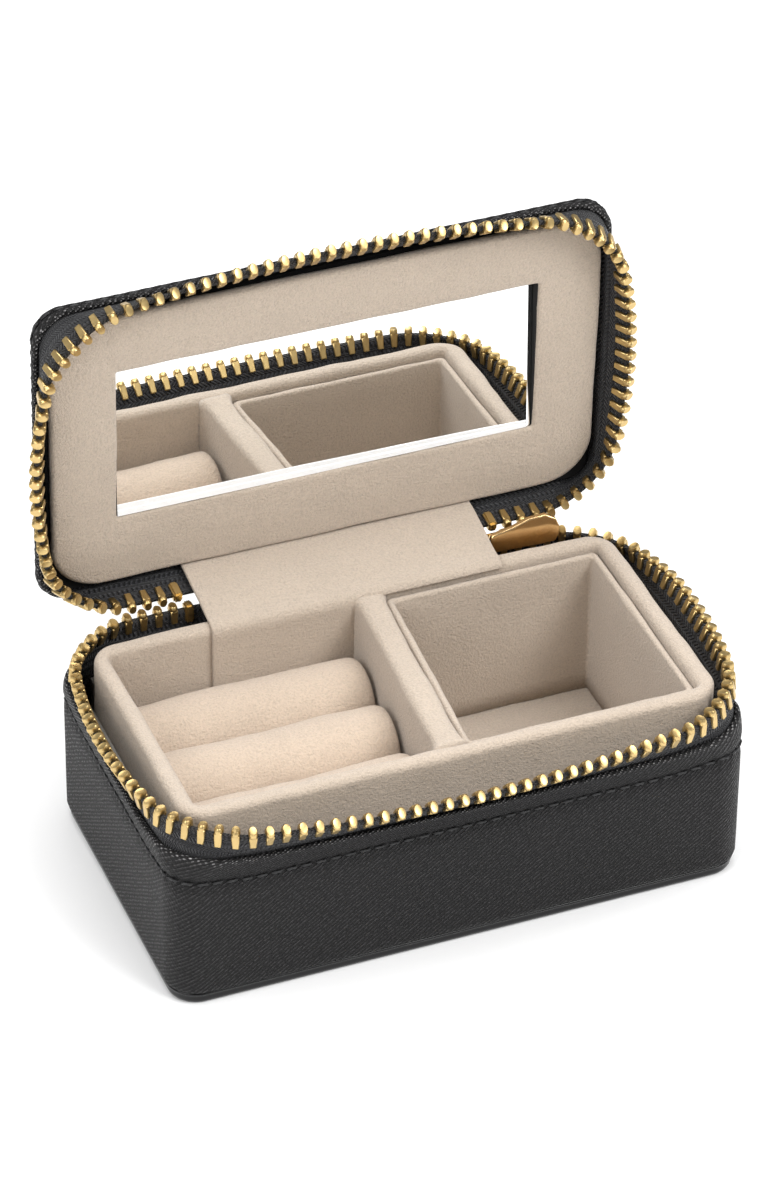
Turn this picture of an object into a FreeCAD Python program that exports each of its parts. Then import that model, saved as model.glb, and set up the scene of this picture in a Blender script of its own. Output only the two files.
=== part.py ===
"""Travel jewelry case, modelled open. Millimetres, X to the right, Y to the back, Z up.

The origin is the centre of the underside. The lid is built in its closed place and
then turned about the hinge line to the open rest pose.
"""
import math
import os
import FreeCAD
import Part

V = FreeCAD.Vector

# Outer shell
LENGTH = 100.0
WIDTH = 58.0
CORNER_R = 5.5
LEATHER_T = 1.0
TAPE_T = 0.5
BOARD_T = 1.6
BASE_EDGE_Z = 27.0
BOTTOM_T = 2.0
BOTTOM_INSET = 1.2
FLOOR_BOARD_T = 1.6

# Hinge line and lid, heights counted up from the hinge line with the lid closed
HINGE_INSET = 0.8
HINGE_RISE = 9.4
OPEN_ANGLE = 88.0
LID_EDGE_H = 7.6
LID_DEPTH = 11.1
LID_BOARD_T = 1.5
PANEL_H = 6.0
PANEL_T = 1.5
PANEL_GAP_SIDE = 2.0
PANEL_GAP_FRONT = 1.8
PANEL_GAP_BACK = 3.0
PANEL_R = 8.5
MIRROR_MARGIN_SIDE = 11.2
MIRROR_MARGIN_FRONT = 10.8
MIRROR_MARGIN_BACK = 13.0
MIRROR_LAP = 1.6
MIRROR_T = 1.1

# Tray
TRAY_GAP_SIDE = 3.6
TRAY_GAP_FRONT = 4.5
TRAY_GAP_BACK = 5.6
TRAY_RISE = 8.4
TRAY_WALL_T = 3.0
TRAY_R = 5.0
TRAY_FLOOR_T = 1.4
RIM_ROUND = 1.2
DIVIDER_T = 4.8
DIVIDER_X_BACK = 2.3
DIVIDER_X_FRONT = -0.1
LINER_T = 1.2
LINER_DROP = 1.5
LINER_GAP = 0.3
RING_ROLLS = 3
ROLL_DROP = 7.4
ROLL_GAP = 0.35
ROLL_SKIN = 0.8

# Zip
TOOTH_PITCH = 2.66
TOOTH_W = 1.2
TOOTH_T = 2.0
TOOTH_LEG = 2.6
TOOTH_HEAD = 1.3
SLOT_CLEARANCE = 0.15
ROW_GAP = 0.7
ROW_INSET_SIDE = 3.0
ROW_OUTSET_FRONT = 0.5
ROW_R = 11.0
FRONT_BULGE = 4.0
SIDE_BULGE = 4.8
FRONT_DIP = 1.4
SIDE_DIP = 0.5
MOUTH_DIP = 1.6
ZIP_END_GAP = 2.5
SEWN_DEPTH = 5.0
SEWN_CLEARANCE = 0.08
STITCH_DROP = 3.5
STITCH_T = 0.3
STITCH_H = 0.5

# Slider and pull
SLIDER_GAP = 0.3
SLIDER_LENGTH = 12.0
SLIDER_PLATE_T = 1.0
SLIDER_PLATE_H = 6.0
SLIDER_LIP = 1.5
SLIDER_LIP_LENGTH = 3.2
SLIDER_SLACK = 0.3
OUTER_PLATE_TOP = 1.9
POST_LENGTH = 1.3
BAIL_BORE_R = 0.8
PULL_DROP = 26.0
PULL_T = 1.2
PULL_WIDTH = 7.0

# Flap and hinge panel
FLAP_X0 = -25.5
FLAP_X1 = 26.0
FLAP_T = 0.7
FLAP_TAIL_Z = 20.0
HINGE_PANEL_HALF = 22.0
SOFT_CLEARANCE = 0.3

# Derived sizes
HINGE_Y = WIDTH / 2 - HINGE_INSET
HINGE_Z = BASE_EDGE_Z + HINGE_RISE
PANEL_FRONT = PANEL_GAP_FRONT - WIDTH / 2
PANEL_BACK = WIDTH / 2 - PANEL_GAP_BACK
PANEL_LENGTH = LENGTH - 2 * PANEL_GAP_SIDE
PANEL_WIDTH = PANEL_BACK - PANEL_FRONT
PANEL_CENTRE_Y = (PANEL_BACK + PANEL_FRONT) / 2
MIRROR_X = PANEL_LENGTH / 2 - MIRROR_MARGIN_SIDE
MIRROR_FRONT = PANEL_FRONT + MIRROR_MARGIN_FRONT
MIRROR_BACK = PANEL_BACK - MIRROR_MARGIN_BACK
ROW_HALF_X = LENGTH / 2 - ROW_INSET_SIDE
ROW_FRONT_Y = WIDTH / 2 + ROW_OUTSET_FRONT
ZIP_END_X = FLAP_X1 + ZIP_END_GAP
SLIDER_X0 = FLAP_X1 + SLIDER_GAP
INNER_X = LENGTH / 2 - LEATHER_T
INNER_Y = WIDTH / 2 - LEATHER_T
FLOOR_Z = BOTTOM_T + FLOOR_BOARD_T
TRAY_X = LENGTH / 2 - TRAY_GAP_SIDE
TRAY_FRONT = TRAY_GAP_FRONT - WIDTH / 2
TRAY_BACK = WIDTH / 2 - TRAY_GAP_BACK
TRAY_TOP_Z = BASE_EDGE_Z + TRAY_RISE
ROLL_TOP_Z = TRAY_TOP_Z - ROLL_DROP
CAVITY_X = TRAY_X - TRAY_WALL_T
CAVITY_FRONT = TRAY_FRONT + TRAY_WALL_T
CAVITY_BACK = TRAY_BACK - TRAY_WALL_T
CAVITY_FLOOR = FLOOR_Z + TRAY_FLOOR_T
LINER_TOP = TRAY_TOP_Z - LINER_DROP
DIVIDER_LEAN = (DIVIDER_X_BACK - DIVIDER_X_FRONT) / (CAVITY_BACK - CAVITY_FRONT)
TAPE_INSET = TAPE_T / 2 + SEWN_CLEARANCE
TAPE_MID_X = INNER_X - TAPE_INSET
TAPE_MID_Y = INNER_Y - TAPE_INSET
TAPE_R = CORNER_R - LEATHER_T - TAPE_INSET
SEWN_SPACE = TAPE_T + 2 * SEWN_CLEARANCE
LID_SKIN_H = LID_DEPTH - LEATHER_T
LID_BOARD_H = LID_SKIN_H - LID_BOARD_T
PANEL_TOP_H = PANEL_H + PANEL_T
HEAD_ROUND = 0.4
RUN_STEPS = 12


def box(x0, x1, y0, y1, z0, z1):
    return Part.makeBox(x1 - x0, y1 - y0, z1 - z0, V(x0, y0, z0))


def rounded_prism(length, width, radius, z0, z1, cy=0.0):
    body = box(-length / 2, length / 2, cy - width / 2, cy + width / 2, z0, z1)
    uprights = [e for e in body.Edges if abs(e.tangentAt(e.FirstParameter).z) > 0.9]
    return body.makeFillet(radius, uprights)


def extrude_profile(points, x0, x1):
    """Points are (y, z); the profile runs along X."""
    corners = [V(x0, y, z) for y, z in points]
    face = Part.Face(Part.makePolygon(corners + corners[:1]))
    return face.extrude(V(x1 - x0, 0, 0))


def thick_path(path, thickness):
    """Closed profile of a strip of the given thickness whose middle line is path."""
    left = []
    right = []
    for i, (y, z) in enumerate(path):
        before = path[max(i - 1, 0)]
        after = path[min(i + 1, len(path) - 1)]
        run = math.hypot(after[0] - before[0], after[1] - before[1])
        ny = -(after[1] - before[1]) / run
        nz = (after[0] - before[0]) / run
        left.append((y + ny * thickness / 2, z + nz * thickness / 2))
        right.append((y - ny * thickness / 2, z - nz * thickness / 2))
    return left + right[::-1]


def opened(shape):
    """Turn a lid part from its closed place to the open rest pose."""
    turned = shape.copy()
    turned.rotate(V(0, HINGE_Y, HINGE_Z), V(1, 0, 0), -OPEN_ANGLE)
    return turned


# ---- zip rows: one loop in plan, parted into nine runs that start at the back middle

def loop_point(u, half_x, front, back, r):
    """Point of a rounded rectangle; u in 0..9, one unit for each run."""
    run = min(int(u), 8)
    f = u - run
    x_in = half_x - r
    y_front = -front + r
    y_back = back - r
    straights = {
        0: ((0, back), (x_in, back)),
        2: ((half_x, y_back), (half_x, y_front)),
        4: ((x_in, -front), (-x_in, -front)),
        6: ((-half_x, y_front), (-half_x, y_back)),
        8: ((-x_in, back), (0, back)),
    }
    corners = {
        1: (x_in, y_back, 90),
        3: (x_in, y_front, 0),
        5: (-x_in, y_front, -90),
        7: (-x_in, y_back, -180),
    }
    if run in straights:
        (xa, ya), (xb, yb) = straights[run]
        return xa + (xb - xa) * f, ya + (yb - ya) * f
    cx, cy, start = corners[run]
    angle = math.radians(start - 90 * f)
    return cx + r * math.cos(angle), cy + r * math.sin(angle)


def sewn_point(u):
    """Middle of the tape where it leaves the leather edge, in plan."""
    return loop_point(u, TAPE_MID_X, TAPE_MID_Y, TAPE_MID_Y, TAPE_R)


def row_point(u):
    """Middle of the tape at its toothed edge: plan position and dip below the top."""
    x, y = loop_point(u, ROW_HALF_X, ROW_FRONT_Y, HINGE_Y, ROW_R)
    side = 1 - (y / ROW_FRONT_Y) ** 2
    bulge_x = SIDE_BULGE * (x / ROW_HALF_X) * max(side, 0)
    front = (1 - (x / ROW_HALF_X) ** 2) if y < 0 else 0.0
    bulge_y = FRONT_BULGE * (y / ROW_FRONT_Y) * front
    mouth = smooth((x - SLIDER_X0 + 2) / 6) * smooth((y - HINGE_Y + 24) / 16)
    dip = FRONT_DIP * front * max(-y / ROW_FRONT_Y, 0) ** 2
    dip += SIDE_DIP * max(side, 0) * abs(x / ROW_HALF_X) + MOUTH_DIP * mouth
    return x + bulge_x, y + bulge_y, dip


def smooth(f):
    f = min(max(f, 0.0), 1.0)
    return f * f * (3 - 2 * f)


def shifted(points, distance):
    """Move a closed list of plan points outward by distance."""
    moved = []
    count = len(points)
    for i, (x, y, z) in enumerate(points):
        ax, ay = points[i - 1][:2]
        bx, by = points[(i + 1) % count][:2]
        run = math.hypot(bx - ax, by - ay)
        moved.append(V(x - (by - ay) / run * distance, y + (bx - ax) / run * distance, z))
    return moved


def closed_curve(vectors):
    curve = Part.BSplineCurve()
    curve.interpolate(Points=vectors, PeriodicFlag=True)
    return curve.toShape()


def tape_levels():
    """The three levels of the base's tape: inside the leather, at its edge, at the teeth."""
    steps = [run + k / RUN_STEPS for run in range(9) for k in range(RUN_STEPS)]
    low = []
    edge = []
    top = []
    for u in steps:
        x, y = sewn_point(u)
        low.append((x, y, BASE_EDGE_Z - SEWN_DEPTH))
        edge.append((x, y, BASE_EDGE_Z))
        rx, ry, dip = row_point(u)
        top.append((rx, ry, HINGE_Z - ROW_GAP / 2 - TOOTH_HEAD - dip))
    return low, edge, top


def lid_levels():
    low, edge, top = tape_levels()
    low = [(x, y, HINGE_Z + LID_SKIN_H) for x, y, _ in low]
    edge = [(x, y, HINGE_Z + LID_EDGE_H) for x, y, _ in edge]
    top = [(x, y, 2 * HINGE_Z - z) for x, y, z in top]
    return low, edge, top


def tape_solid(levels):
    outer = [closed_curve(shifted(points, TAPE_T / 2)) for points in levels]
    inner = [closed_curve(shifted(points, -TAPE_T / 2)) for points in levels]
    faces = []
    for lower, upper in zip(outer[:-1], outer[1:]):
        faces.append(Part.makeRuledSurface(lower, upper))
    for lower, upper in zip(inner[:-1], inner[1:]):
        faces.append(Part.makeRuledSurface(lower, upper))
    faces.append(Part.makeRuledSurface(outer[0], inner[0]))
    faces.append(Part.makeRuledSurface(outer[-1], inner[-1]))
    shell = Part.Shell([f for shape in faces for f in shape.Faces])
    shell.sewShape()
    solid = Part.Solid(shell)
    if solid.Volume < 0:
        solid.reverse()
    return solid


def row_stations(shift):
    """Evenly spaced stations along the toothed edge, leaving out the back middle."""
    fine = [9 * k / 1800 for k in range(1801)]
    spots = [row_point(u) for u in fine]
    travelled = [0.0]
    for (xa, ya, _), (xb, yb, _) in zip(spots[:-1], spots[1:]):
        travelled.append(travelled[-1] + math.hypot(xb - xa, yb - ya))
    total = travelled[-1]
    count = int(round(total / TOOTH_PITCH / 2)) * 2
    stations = []
    k = 0
    for n in range(count):
        target = (n + shift) * total / count
        while travelled[k + 1] < target:
            k += 1
        u = fine[k] + (target - travelled[k]) / (travelled[k + 1] - travelled[k]) * 0.005
        x, y, _ = row_point(u)
        if abs(x) > ZIP_END_X or y < 0:
            stations.append(u)
    return stations


def station_frame(u, lid):
    """Tape edge, direction along the row, and direction from the leather to the teeth."""
    x, y, dip = row_point(u)
    sx, sy = sewn_point(u)
    height = ROW_GAP / 2 + TOOTH_HEAD + dip
    if lid:
        tip = V(x, y, HINGE_Z + height)
        root = V(sx, sy, HINGE_Z + LID_EDGE_H)
    else:
        tip = V(x, y, HINGE_Z - height)
        root = V(sx, sy, BASE_EDGE_Z)
    ax, ay, _ = row_point(max(u - 0.01, 0))
    bx, by, _ = row_point(min(u + 0.01, 9))
    along = V(bx - ax, by - ay, 0).normalize()
    out = (tip - root).normalize()
    side = along.cross(out).normalize()
    return tip, along, side, side.cross(along).normalize()


def clamp_piece(u, lid, width, head):
    """A metal piece astride the tape's edge: two legs and a head."""
    tip, along, side, up = station_frame(u, lid)
    half = TOOTH_T / 2
    slot = TAPE_T / 2 + SLOT_CLEARANCE
    profile = [
        (-half, -TOOTH_LEG), (-slot, -TOOTH_LEG), (-slot, 0), (slot, 0),
        (slot, -TOOTH_LEG), (half, -TOOTH_LEG), (half, head - HEAD_ROUND),
        (half - HEAD_ROUND, head), (HEAD_ROUND - half, head), (-half, head - HEAD_ROUND),
    ]
    start = tip - along * (width / 2)
    corners = [start + side * a + up * b for a, b in profile]
    return Part.Face(Part.makePolygon(corners + corners[:1])).extrude(along * width)


def teeth(lid):
    stations = row_stations(0.5 if lid else 0.0)
    return Part.makeCompound([clamp_piece(u, lid, TOOTH_W, TOOTH_HEAD) for u in stations])


def stops(lid):
    """A stop clamped on the tape past the last tooth at each end of the zip."""
    stations = row_stations(0.5 if lid else 0.0)
    step = stations[1] - stations[0]
    ends = (stations[0] - step, stations[-1] + step)
    return Part.makeCompound([clamp_piece(u, lid, TOOTH_W * 1.3, TOOTH_HEAD * 0.7) for u in ends])


# ---- base

def base_bottom_plate():
    plate = rounded_prism(LENGTH - 2 * BOTTOM_INSET, WIDTH - 2 * BOTTOM_INSET,
                          CORNER_R - BOTTOM_INSET, 0, BOTTOM_T)
    rim = [e for e in plate.Edges if e.BoundBox.ZMax < 0.01]
    return plate.makeFillet(0.6, rim)


def base_leather_cover():
    outer = rounded_prism(LENGTH, WIDTH, CORNER_R, BOTTOM_T, BASE_EDGE_Z)
    inner = rounded_prism(2 * INNER_X, 2 * INNER_Y, CORNER_R - LEATHER_T, BOTTOM_T, BASE_EDGE_Z)
    return outer.cut(inner)


def base_floor_board():
    size = SEWN_SPACE + 0.24
    return rounded_prism(2 * (INNER_X - size), 2 * (INNER_Y - size), CORNER_R - LEATHER_T - size,
                         BOTTOM_T, FLOOR_Z)


def base_boards():
    top = BASE_EDGE_Z - 1.5
    x1 = INNER_X - SEWN_SPACE
    y1 = INNER_Y - SEWN_SPACE
    long_x = x1 - BOARD_T - 2.4
    short_y = y1 - BOARD_T - 2.4
    return {
        "base_front_board": box(-long_x, long_x, -y1, BOARD_T - y1, FLOOR_Z, top),
        "base_back_board": box(-long_x, long_x, y1 - BOARD_T, y1, FLOOR_Z, top),
        "base_left_board": box(-x1, BOARD_T - x1, -short_y, short_y, FLOOR_Z, top),
        "base_right_board": box(x1 - BOARD_T, x1, -short_y, short_y, FLOOR_Z, top),
    }


def seam_ring(z0, z1):
    outer = rounded_prism(LENGTH + 2 * STITCH_T, WIDTH + 2 * STITCH_T, CORNER_R + STITCH_T, z0, z1)
    return outer.cut(rounded_prism(LENGTH, WIDTH, CORNER_R, z0, z1))


def base_edge_stitching():
    mid = BASE_EDGE_Z - STITCH_DROP
    return seam_ring(mid - STITCH_H / 2, mid + STITCH_H / 2)


def hinge_panel():
    """Leather strip on the outside, from the base's back edge to the lid's."""
    y0 = WIDTH / 2 - LEATHER_T / 2
    lid_y = HINGE_Y + LID_EDGE_H - 0.4
    lid_z = HINGE_Z - (WIDTH / 2 - LEATHER_T / 2 - HINGE_Y)
    path = [(y0, BASE_EDGE_Z), (y0, BASE_EDGE_Z + 0.3)]
    for k in range(1, 9):
        a = math.radians(90 * k / 9)
        y = y0 + (lid_y - y0) * (1 - math.cos(a))
        z = BASE_EDGE_Z + (lid_z - BASE_EDGE_Z) * math.sin(a)
        path.append((y, z))
    path.append((lid_y, lid_z))
    return extrude_profile(thick_path(path, LEATHER_T * 0.8), -HINGE_PANEL_HALF, HINGE_PANEL_HALF)


# ---- tray

def tray_ring():
    outer = rounded_prism(2 * TRAY_X, TRAY_BACK - TRAY_FRONT, TRAY_R, FLOOR_Z, TRAY_TOP_Z,
                          (TRAY_BACK + TRAY_FRONT) / 2)
    rim = [e for e in outer.Edges if e.BoundBox.ZMin > TRAY_TOP_Z - 0.01]
    outer = outer.makeFillet(RIM_ROUND, rim)
    return outer.cut(box(-CAVITY_X, CAVITY_X, CAVITY_FRONT, CAVITY_BACK, FLOOR_Z - 1, TRAY_TOP_Z + 1))


def tray_walls():
    ring = tray_ring()
    far = LENGTH
    top = TRAY_TOP_Z + 1
    return {
        "tray_front_wall": ring.common(box(-far, far, -far, CAVITY_FRONT, 0, top)),
        "tray_back_wall": ring.common(box(-far, far, CAVITY_BACK, far, 0, top)),
        "tray_left_wall": ring.common(box(-far, -CAVITY_X, CAVITY_FRONT, CAVITY_BACK, 0, top)),
        "tray_right_wall": ring.common(box(CAVITY_X, far, CAVITY_FRONT, CAVITY_BACK, 0, top)),
    }


def tray_floor():
    return box(-CAVITY_X, CAVITY_X, CAVITY_FRONT, CAVITY_BACK, FLOOR_Z, CAVITY_FLOOR)


def divider_x(y, offset):
    return DIVIDER_X_FRONT + (y - CAVITY_FRONT) * DIVIDER_LEAN + offset


def upright(corners, z0, z1):
    points = [V(x, y, z0) for x, y in corners]
    return Part.Face(Part.makePolygon(points + points[:1])).extrude(V(0, 0, z1 - z0))


def tray_divider():
    half = DIVIDER_T / 2
    y0 = CAVITY_FRONT
    y1 = CAVITY_BACK
    corners = [(divider_x(y0, -half), y0), (divider_x(y0, half), y0),
               (divider_x(y1, half), y1), (divider_x(y1, -half), y1)]
    block = upright(corners, CAVITY_FLOOR, TRAY_TOP_Z)
    top = [e for e in block.Edges if e.BoundBox.ZMin > TRAY_TOP_Z - 0.01 and e.BoundBox.YLength > 9]
    return block.makeFillet(RIM_ROUND, top)


def compartment_liner():
    """Four low walls and a floor pad that line the open compartment."""
    x1 = CAVITY_X - LINER_GAP
    y0 = CAVITY_FRONT + LINER_GAP
    y1 = CAVITY_BACK - LINER_GAP
    near = DIVIDER_T / 2 + LINER_GAP
    far = near + LINER_T
    z0 = CAVITY_FLOOR + LINER_T
    left = [(divider_x(y0, near), y0), (divider_x(y0, far), y0),
            (divider_x(y1, far), y1), (divider_x(y1, near), y1)]
    front_y = y0 + LINER_T
    back_y = y1 - LINER_T
    front = [(divider_x(y0, far), y0), (x1, y0), (x1, front_y), (divider_x(front_y, far), front_y)]
    back = [(divider_x(back_y, far), back_y), (x1, back_y), (x1, y1), (divider_x(y1, far), y1)]
    pad = [(divider_x(y0, near), y0), (x1, y0), (x1, y1), (divider_x(y1, near), y1)]
    return {
        "liner_left_wall": upright(left, z0, LINER_TOP),
        "liner_front_wall": upright(front, z0, LINER_TOP),
        "liner_back_wall": upright(back, z0, LINER_TOP),
        "liner_right_wall": box(x1 - LINER_T, x1, front_y, back_y, z0, LINER_TOP),
        "liner_floor_pad": upright(pad, CAVITY_FLOOR, z0),
    }


def roll_profile(cy, half, z0, top):
    points = [(cy - half, z0), (cy + half, z0)]
    for k in range(13):
        a = math.radians(180 * k / 12)
        points.append((cy + half * math.cos(a), top - half + half * math.sin(a)))
    return points


def ring_rolls():
    """Foam bars with rounded tops, each wrapped in suede; rings are pushed in between."""
    room = CAVITY_BACK - FLAP_T - ROLL_GAP - CAVITY_FRONT
    pitch = room / RING_ROLLS
    half = pitch / 2 - ROLL_GAP / 2
    x0 = -CAVITY_X
    names = ("front", "middle", "back")
    parts = {}
    cores = []
    for i in range(RING_ROLLS):
        cy = CAVITY_FRONT + pitch * (i + 0.5)
        end = divider_x(cy - half, -DIVIDER_T / 2) - ROLL_GAP
        outer = extrude_profile(roll_profile(cy, half, CAVITY_FLOOR, ROLL_TOP_Z), x0, end)
        core = extrude_profile(roll_profile(cy, half - ROLL_SKIN, CAVITY_FLOOR + ROLL_SKIN,
                                            ROLL_TOP_Z - ROLL_SKIN), x0 + ROLL_SKIN, end - ROLL_SKIN)
        parts["ring_roll_" + names[i]] = outer.cut(core)
        cores.append(core)
    parts["ring_roll_foam_cores"] = Part.makeCompound(cores)
    return parts


def hinge_flap():
    """Suede strip from the lid panel over the tray's back rim; its tail hangs in the ring side."""
    clear = FLAP_T / 2 + 0.02
    rim_z = TRAY_TOP_Z + clear
    lid_y = HINGE_Y + PANEL_H - SOFT_CLEARANCE - FLAP_T / 2
    lid_z = HINGE_Z + HINGE_Y - PANEL_BACK
    over = [(lid_y, lid_z + 1.5), (lid_y - 0.3, lid_z + 0.2), (lid_y - 1.6, lid_z - 0.6),
            (HINGE_Y, HINGE_Z + 1.1), (TRAY_BACK, rim_z + 0.05), (CAVITY_BACK + 0.6, rim_z + 0.05)]
    tail = over + [(CAVITY_BACK - clear, rim_z + 0.05), (CAVITY_BACK - clear, FLAP_TAIL_Z)]
    tail_x1 = divider_x(CAVITY_BACK, -DIVIDER_T / 2) - 0.4
    long_part = extrude_profile(thick_path(tail, FLAP_T), FLAP_X0, tail_x1)
    short_part = extrude_profile(thick_path(over, FLAP_T), tail_x1, FLAP_X1)
    return long_part.fuse(short_part).removeSplitter()


# ---- lid, built closed

def lid_leather_cover():
    top = HINGE_Z + LID_DEPTH
    outer = rounded_prism(LENGTH, WIDTH, CORNER_R, HINGE_Z + LID_EDGE_H, top)
    rim = [e for e in outer.Edges if e.BoundBox.ZMin > top - 0.01]
    outer = outer.makeFillet(0.9, rim)
    inner = rounded_prism(2 * INNER_X, 2 * INNER_Y, CORNER_R - LEATHER_T,
                          HINGE_Z + LID_EDGE_H, HINGE_Z + LID_SKIN_H)
    return opened(outer.cut(inner))


def lid_edge_stitching():
    mid = HINGE_Z + LID_EDGE_H + STITCH_DROP / 2
    return opened(seam_ring(mid - STITCH_H / 2, mid + STITCH_H / 2))


def lid_board():
    size = SEWN_SPACE + 0.14
    return opened(rounded_prism(2 * (INNER_X - size), 2 * (INNER_Y - size), CORNER_R - LEATHER_T - size,
                                HINGE_Z + LID_BOARD_H, HINGE_Z + LID_SKIN_H))


def lid_mirror():
    z0 = HINGE_Z + PANEL_TOP_H
    x = MIRROR_X + MIRROR_LAP
    return opened(box(-x, x, MIRROR_FRONT - MIRROR_LAP, MIRROR_BACK + MIRROR_LAP, z0, z0 + MIRROR_T))


def lid_mirror_frame():
    """Foam frame of the mirror's thickness that fills the layer around it."""
    z0 = HINGE_Z + PANEL_TOP_H
    size = SEWN_SPACE + 0.64
    sheet = rounded_prism(2 * (INNER_X - size), 2 * (INNER_Y - size), CORNER_R - LEATHER_T - size,
                          z0, HINGE_Z + LID_BOARD_H)
    lap = MIRROR_LAP + 0.1
    x = MIRROR_X + lap
    hole = box(-x, x, MIRROR_FRONT - lap, MIRROR_BACK + lap, z0 - 1, z0 + 9)
    return opened(sheet.cut(hole))


def lid_lining_panel():
    z0 = HINGE_Z + PANEL_H
    z1 = HINGE_Z + PANEL_TOP_H
    sheet = rounded_prism(PANEL_LENGTH, PANEL_WIDTH, PANEL_R, z0, z1, PANEL_CENTRE_Y)
    rim = [e for e in sheet.Edges if e.BoundBox.ZMax < z0 + 0.01]
    sheet = sheet.makeFillet(0.6, rim)
    window = box(-MIRROR_X, MIRROR_X, MIRROR_FRONT, MIRROR_BACK, z0 - 1, z1 + 1)
    return opened(sheet.cut(window))


# ---- slider and pull

def slider_body():
    """Inner plate with its flared lip, half-height outer plate and the post that parts the rows."""
    x0 = SLIDER_X0
    x1 = SLIDER_X0 + SLIDER_LENGTH
    half = TOOTH_T / 2 + SLIDER_SLACK
    y_in = HINGE_Y - half
    y_out = HINGE_Y + half
    low = HINGE_Z - SLIDER_PLATE_H / 2
    bend = x1 - SLIDER_LIP_LENGTH
    y_back = y_in - SLIDER_PLATE_T
    plan = [(x0, y_back), (bend, y_back), (x1, y_back - SLIDER_LIP), (x1, y_in - SLIDER_LIP),
            (bend, y_in), (x0, y_in)]
    inner = upright(plan, low, low + SLIDER_PLATE_H)
    ends = [e for e in inner.Edges if abs(e.tangentAt(e.FirstParameter).y) > 0.9]
    inner = inner.makeFillet(1.2, ends)
    top = HINGE_Z - OUTER_PLATE_TOP
    outer = box(x0, x1, y_out, y_out + SLIDER_PLATE_T * 0.8, low - 2, top)
    post_top = HINGE_Z - 0.3
    post_low = HINGE_Z - 1.75
    post = box(x1 - POST_LENGTH - 0.3, x1 - 0.3, y_in - SLIDER_LIP, y_out + 0.4, post_low, post_top)
    leg = box(x1 - POST_LENGTH - 0.3, x1 - 0.3, y_out, y_out + 0.4, top - 0.5, post_top)
    return inner.fuse(outer).fuse(post).fuse(leg).removeSplitter()


def bail_axis():
    y = HINGE_Y + TOOTH_T / 2 + SLIDER_SLACK + SLIDER_PLATE_T * 0.8 + 1.2
    z = HINGE_Z - OUTER_PLATE_TOP - 2.0
    return y, z


def slider_bail():
    """Two ears on the outer plate with the pin that carries the pull."""
    y, z = bail_axis()
    mid = SLIDER_X0 + SLIDER_LENGTH / 2
    y0 = y - 1.2
    ears = []
    for x in (mid - 3.0, mid + 2.0):
        ears.append(box(x, x + 1.0, y0, y + 0.9, z - 0.9, z + 0.9))
    pin = Part.makeCylinder(0.5, 5.0, V(mid - 2.5, y, z), V(1, 0, 0))
    return ears[0].fuse(ears[1]).fuse(pin).removeSplitter()


def pull_link():
    y, z = bail_axis()
    mid = SLIDER_X0 + SLIDER_LENGTH / 2
    barrel = Part.makeCylinder(1.1, 3.4, V(mid - 1.7, y, z), V(1, 0, 0))
    stem = box(mid - 1.7, mid + 1.7, y - 0.6, y + 0.6, z - 4.0, z)
    bore = Part.makeCylinder(BAIL_BORE_R, 5.0, V(mid - 2.5, y, z), V(1, 0, 0))
    return barrel.fuse(stem).cut(bore).removeSplitter()


def pull_tab():
    y, z = bail_axis()
    mid = SLIDER_X0 + SLIDER_LENGTH / 2
    half = PULL_WIDTH / 2
    top = z - 4.0
    tab = box(mid - half, mid + half, y - PULL_T / 2, y + PULL_T / 2, z - PULL_DROP, top)
    ends = [e for e in tab.Edges if abs(e.tangentAt(e.FirstParameter).y) > 0.9]
    tab = tab.makeFillet(2.0, ends)
    hole = Part.makeCylinder(1.4, 4.0, V(mid, y - 2, z - PULL_DROP + 4.0), V(0, 1, 0))
    return tab.cut(hole)


def main():
    os.makedirs("parts", exist_ok=True)
    parts = {
        "base_bottom_plate": base_bottom_plate(),
        "base_leather_cover": base_leather_cover(),
        "base_floor_board": base_floor_board(),
        "base_edge_stitching": base_edge_stitching(),
        "base_zip_tape": tape_solid(tape_levels()),
        "base_zip_teeth": teeth(False),
        "base_zip_stops": stops(False),
        "hinge_panel": hinge_panel(),
        "hinge_flap": hinge_flap(),
        "tray_floor": tray_floor(),
        "tray_divider": tray_divider(),
        "lid_leather_cover": lid_leather_cover(),
        "lid_edge_stitching": lid_edge_stitching(),
        "lid_board": lid_board(),
        "lid_mirror": lid_mirror(),
        "lid_mirror_frame": lid_mirror_frame(),
        "lid_lining_panel": lid_lining_panel(),
        "lid_zip_tape": opened(tape_solid(lid_levels())),
        "lid_zip_teeth": opened(teeth(True)),
        "lid_zip_stops": opened(stops(True)),
        "slider_body": slider_body(),
        "slider_bail": slider_bail(),
        "pull_link": pull_link(),
        "pull_tab": pull_tab(),
    }
    parts.update(base_boards())
    parts.update(tray_walls())
    parts.update(compartment_liner())
    parts.update(ring_rolls())
    for name, shape in sorted(parts.items()):
        shape.exportStep("parts/" + name + ".step")
        print(name, len(shape.Solids), round(shape.Volume, 2), shape.isValid())


main()
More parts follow.
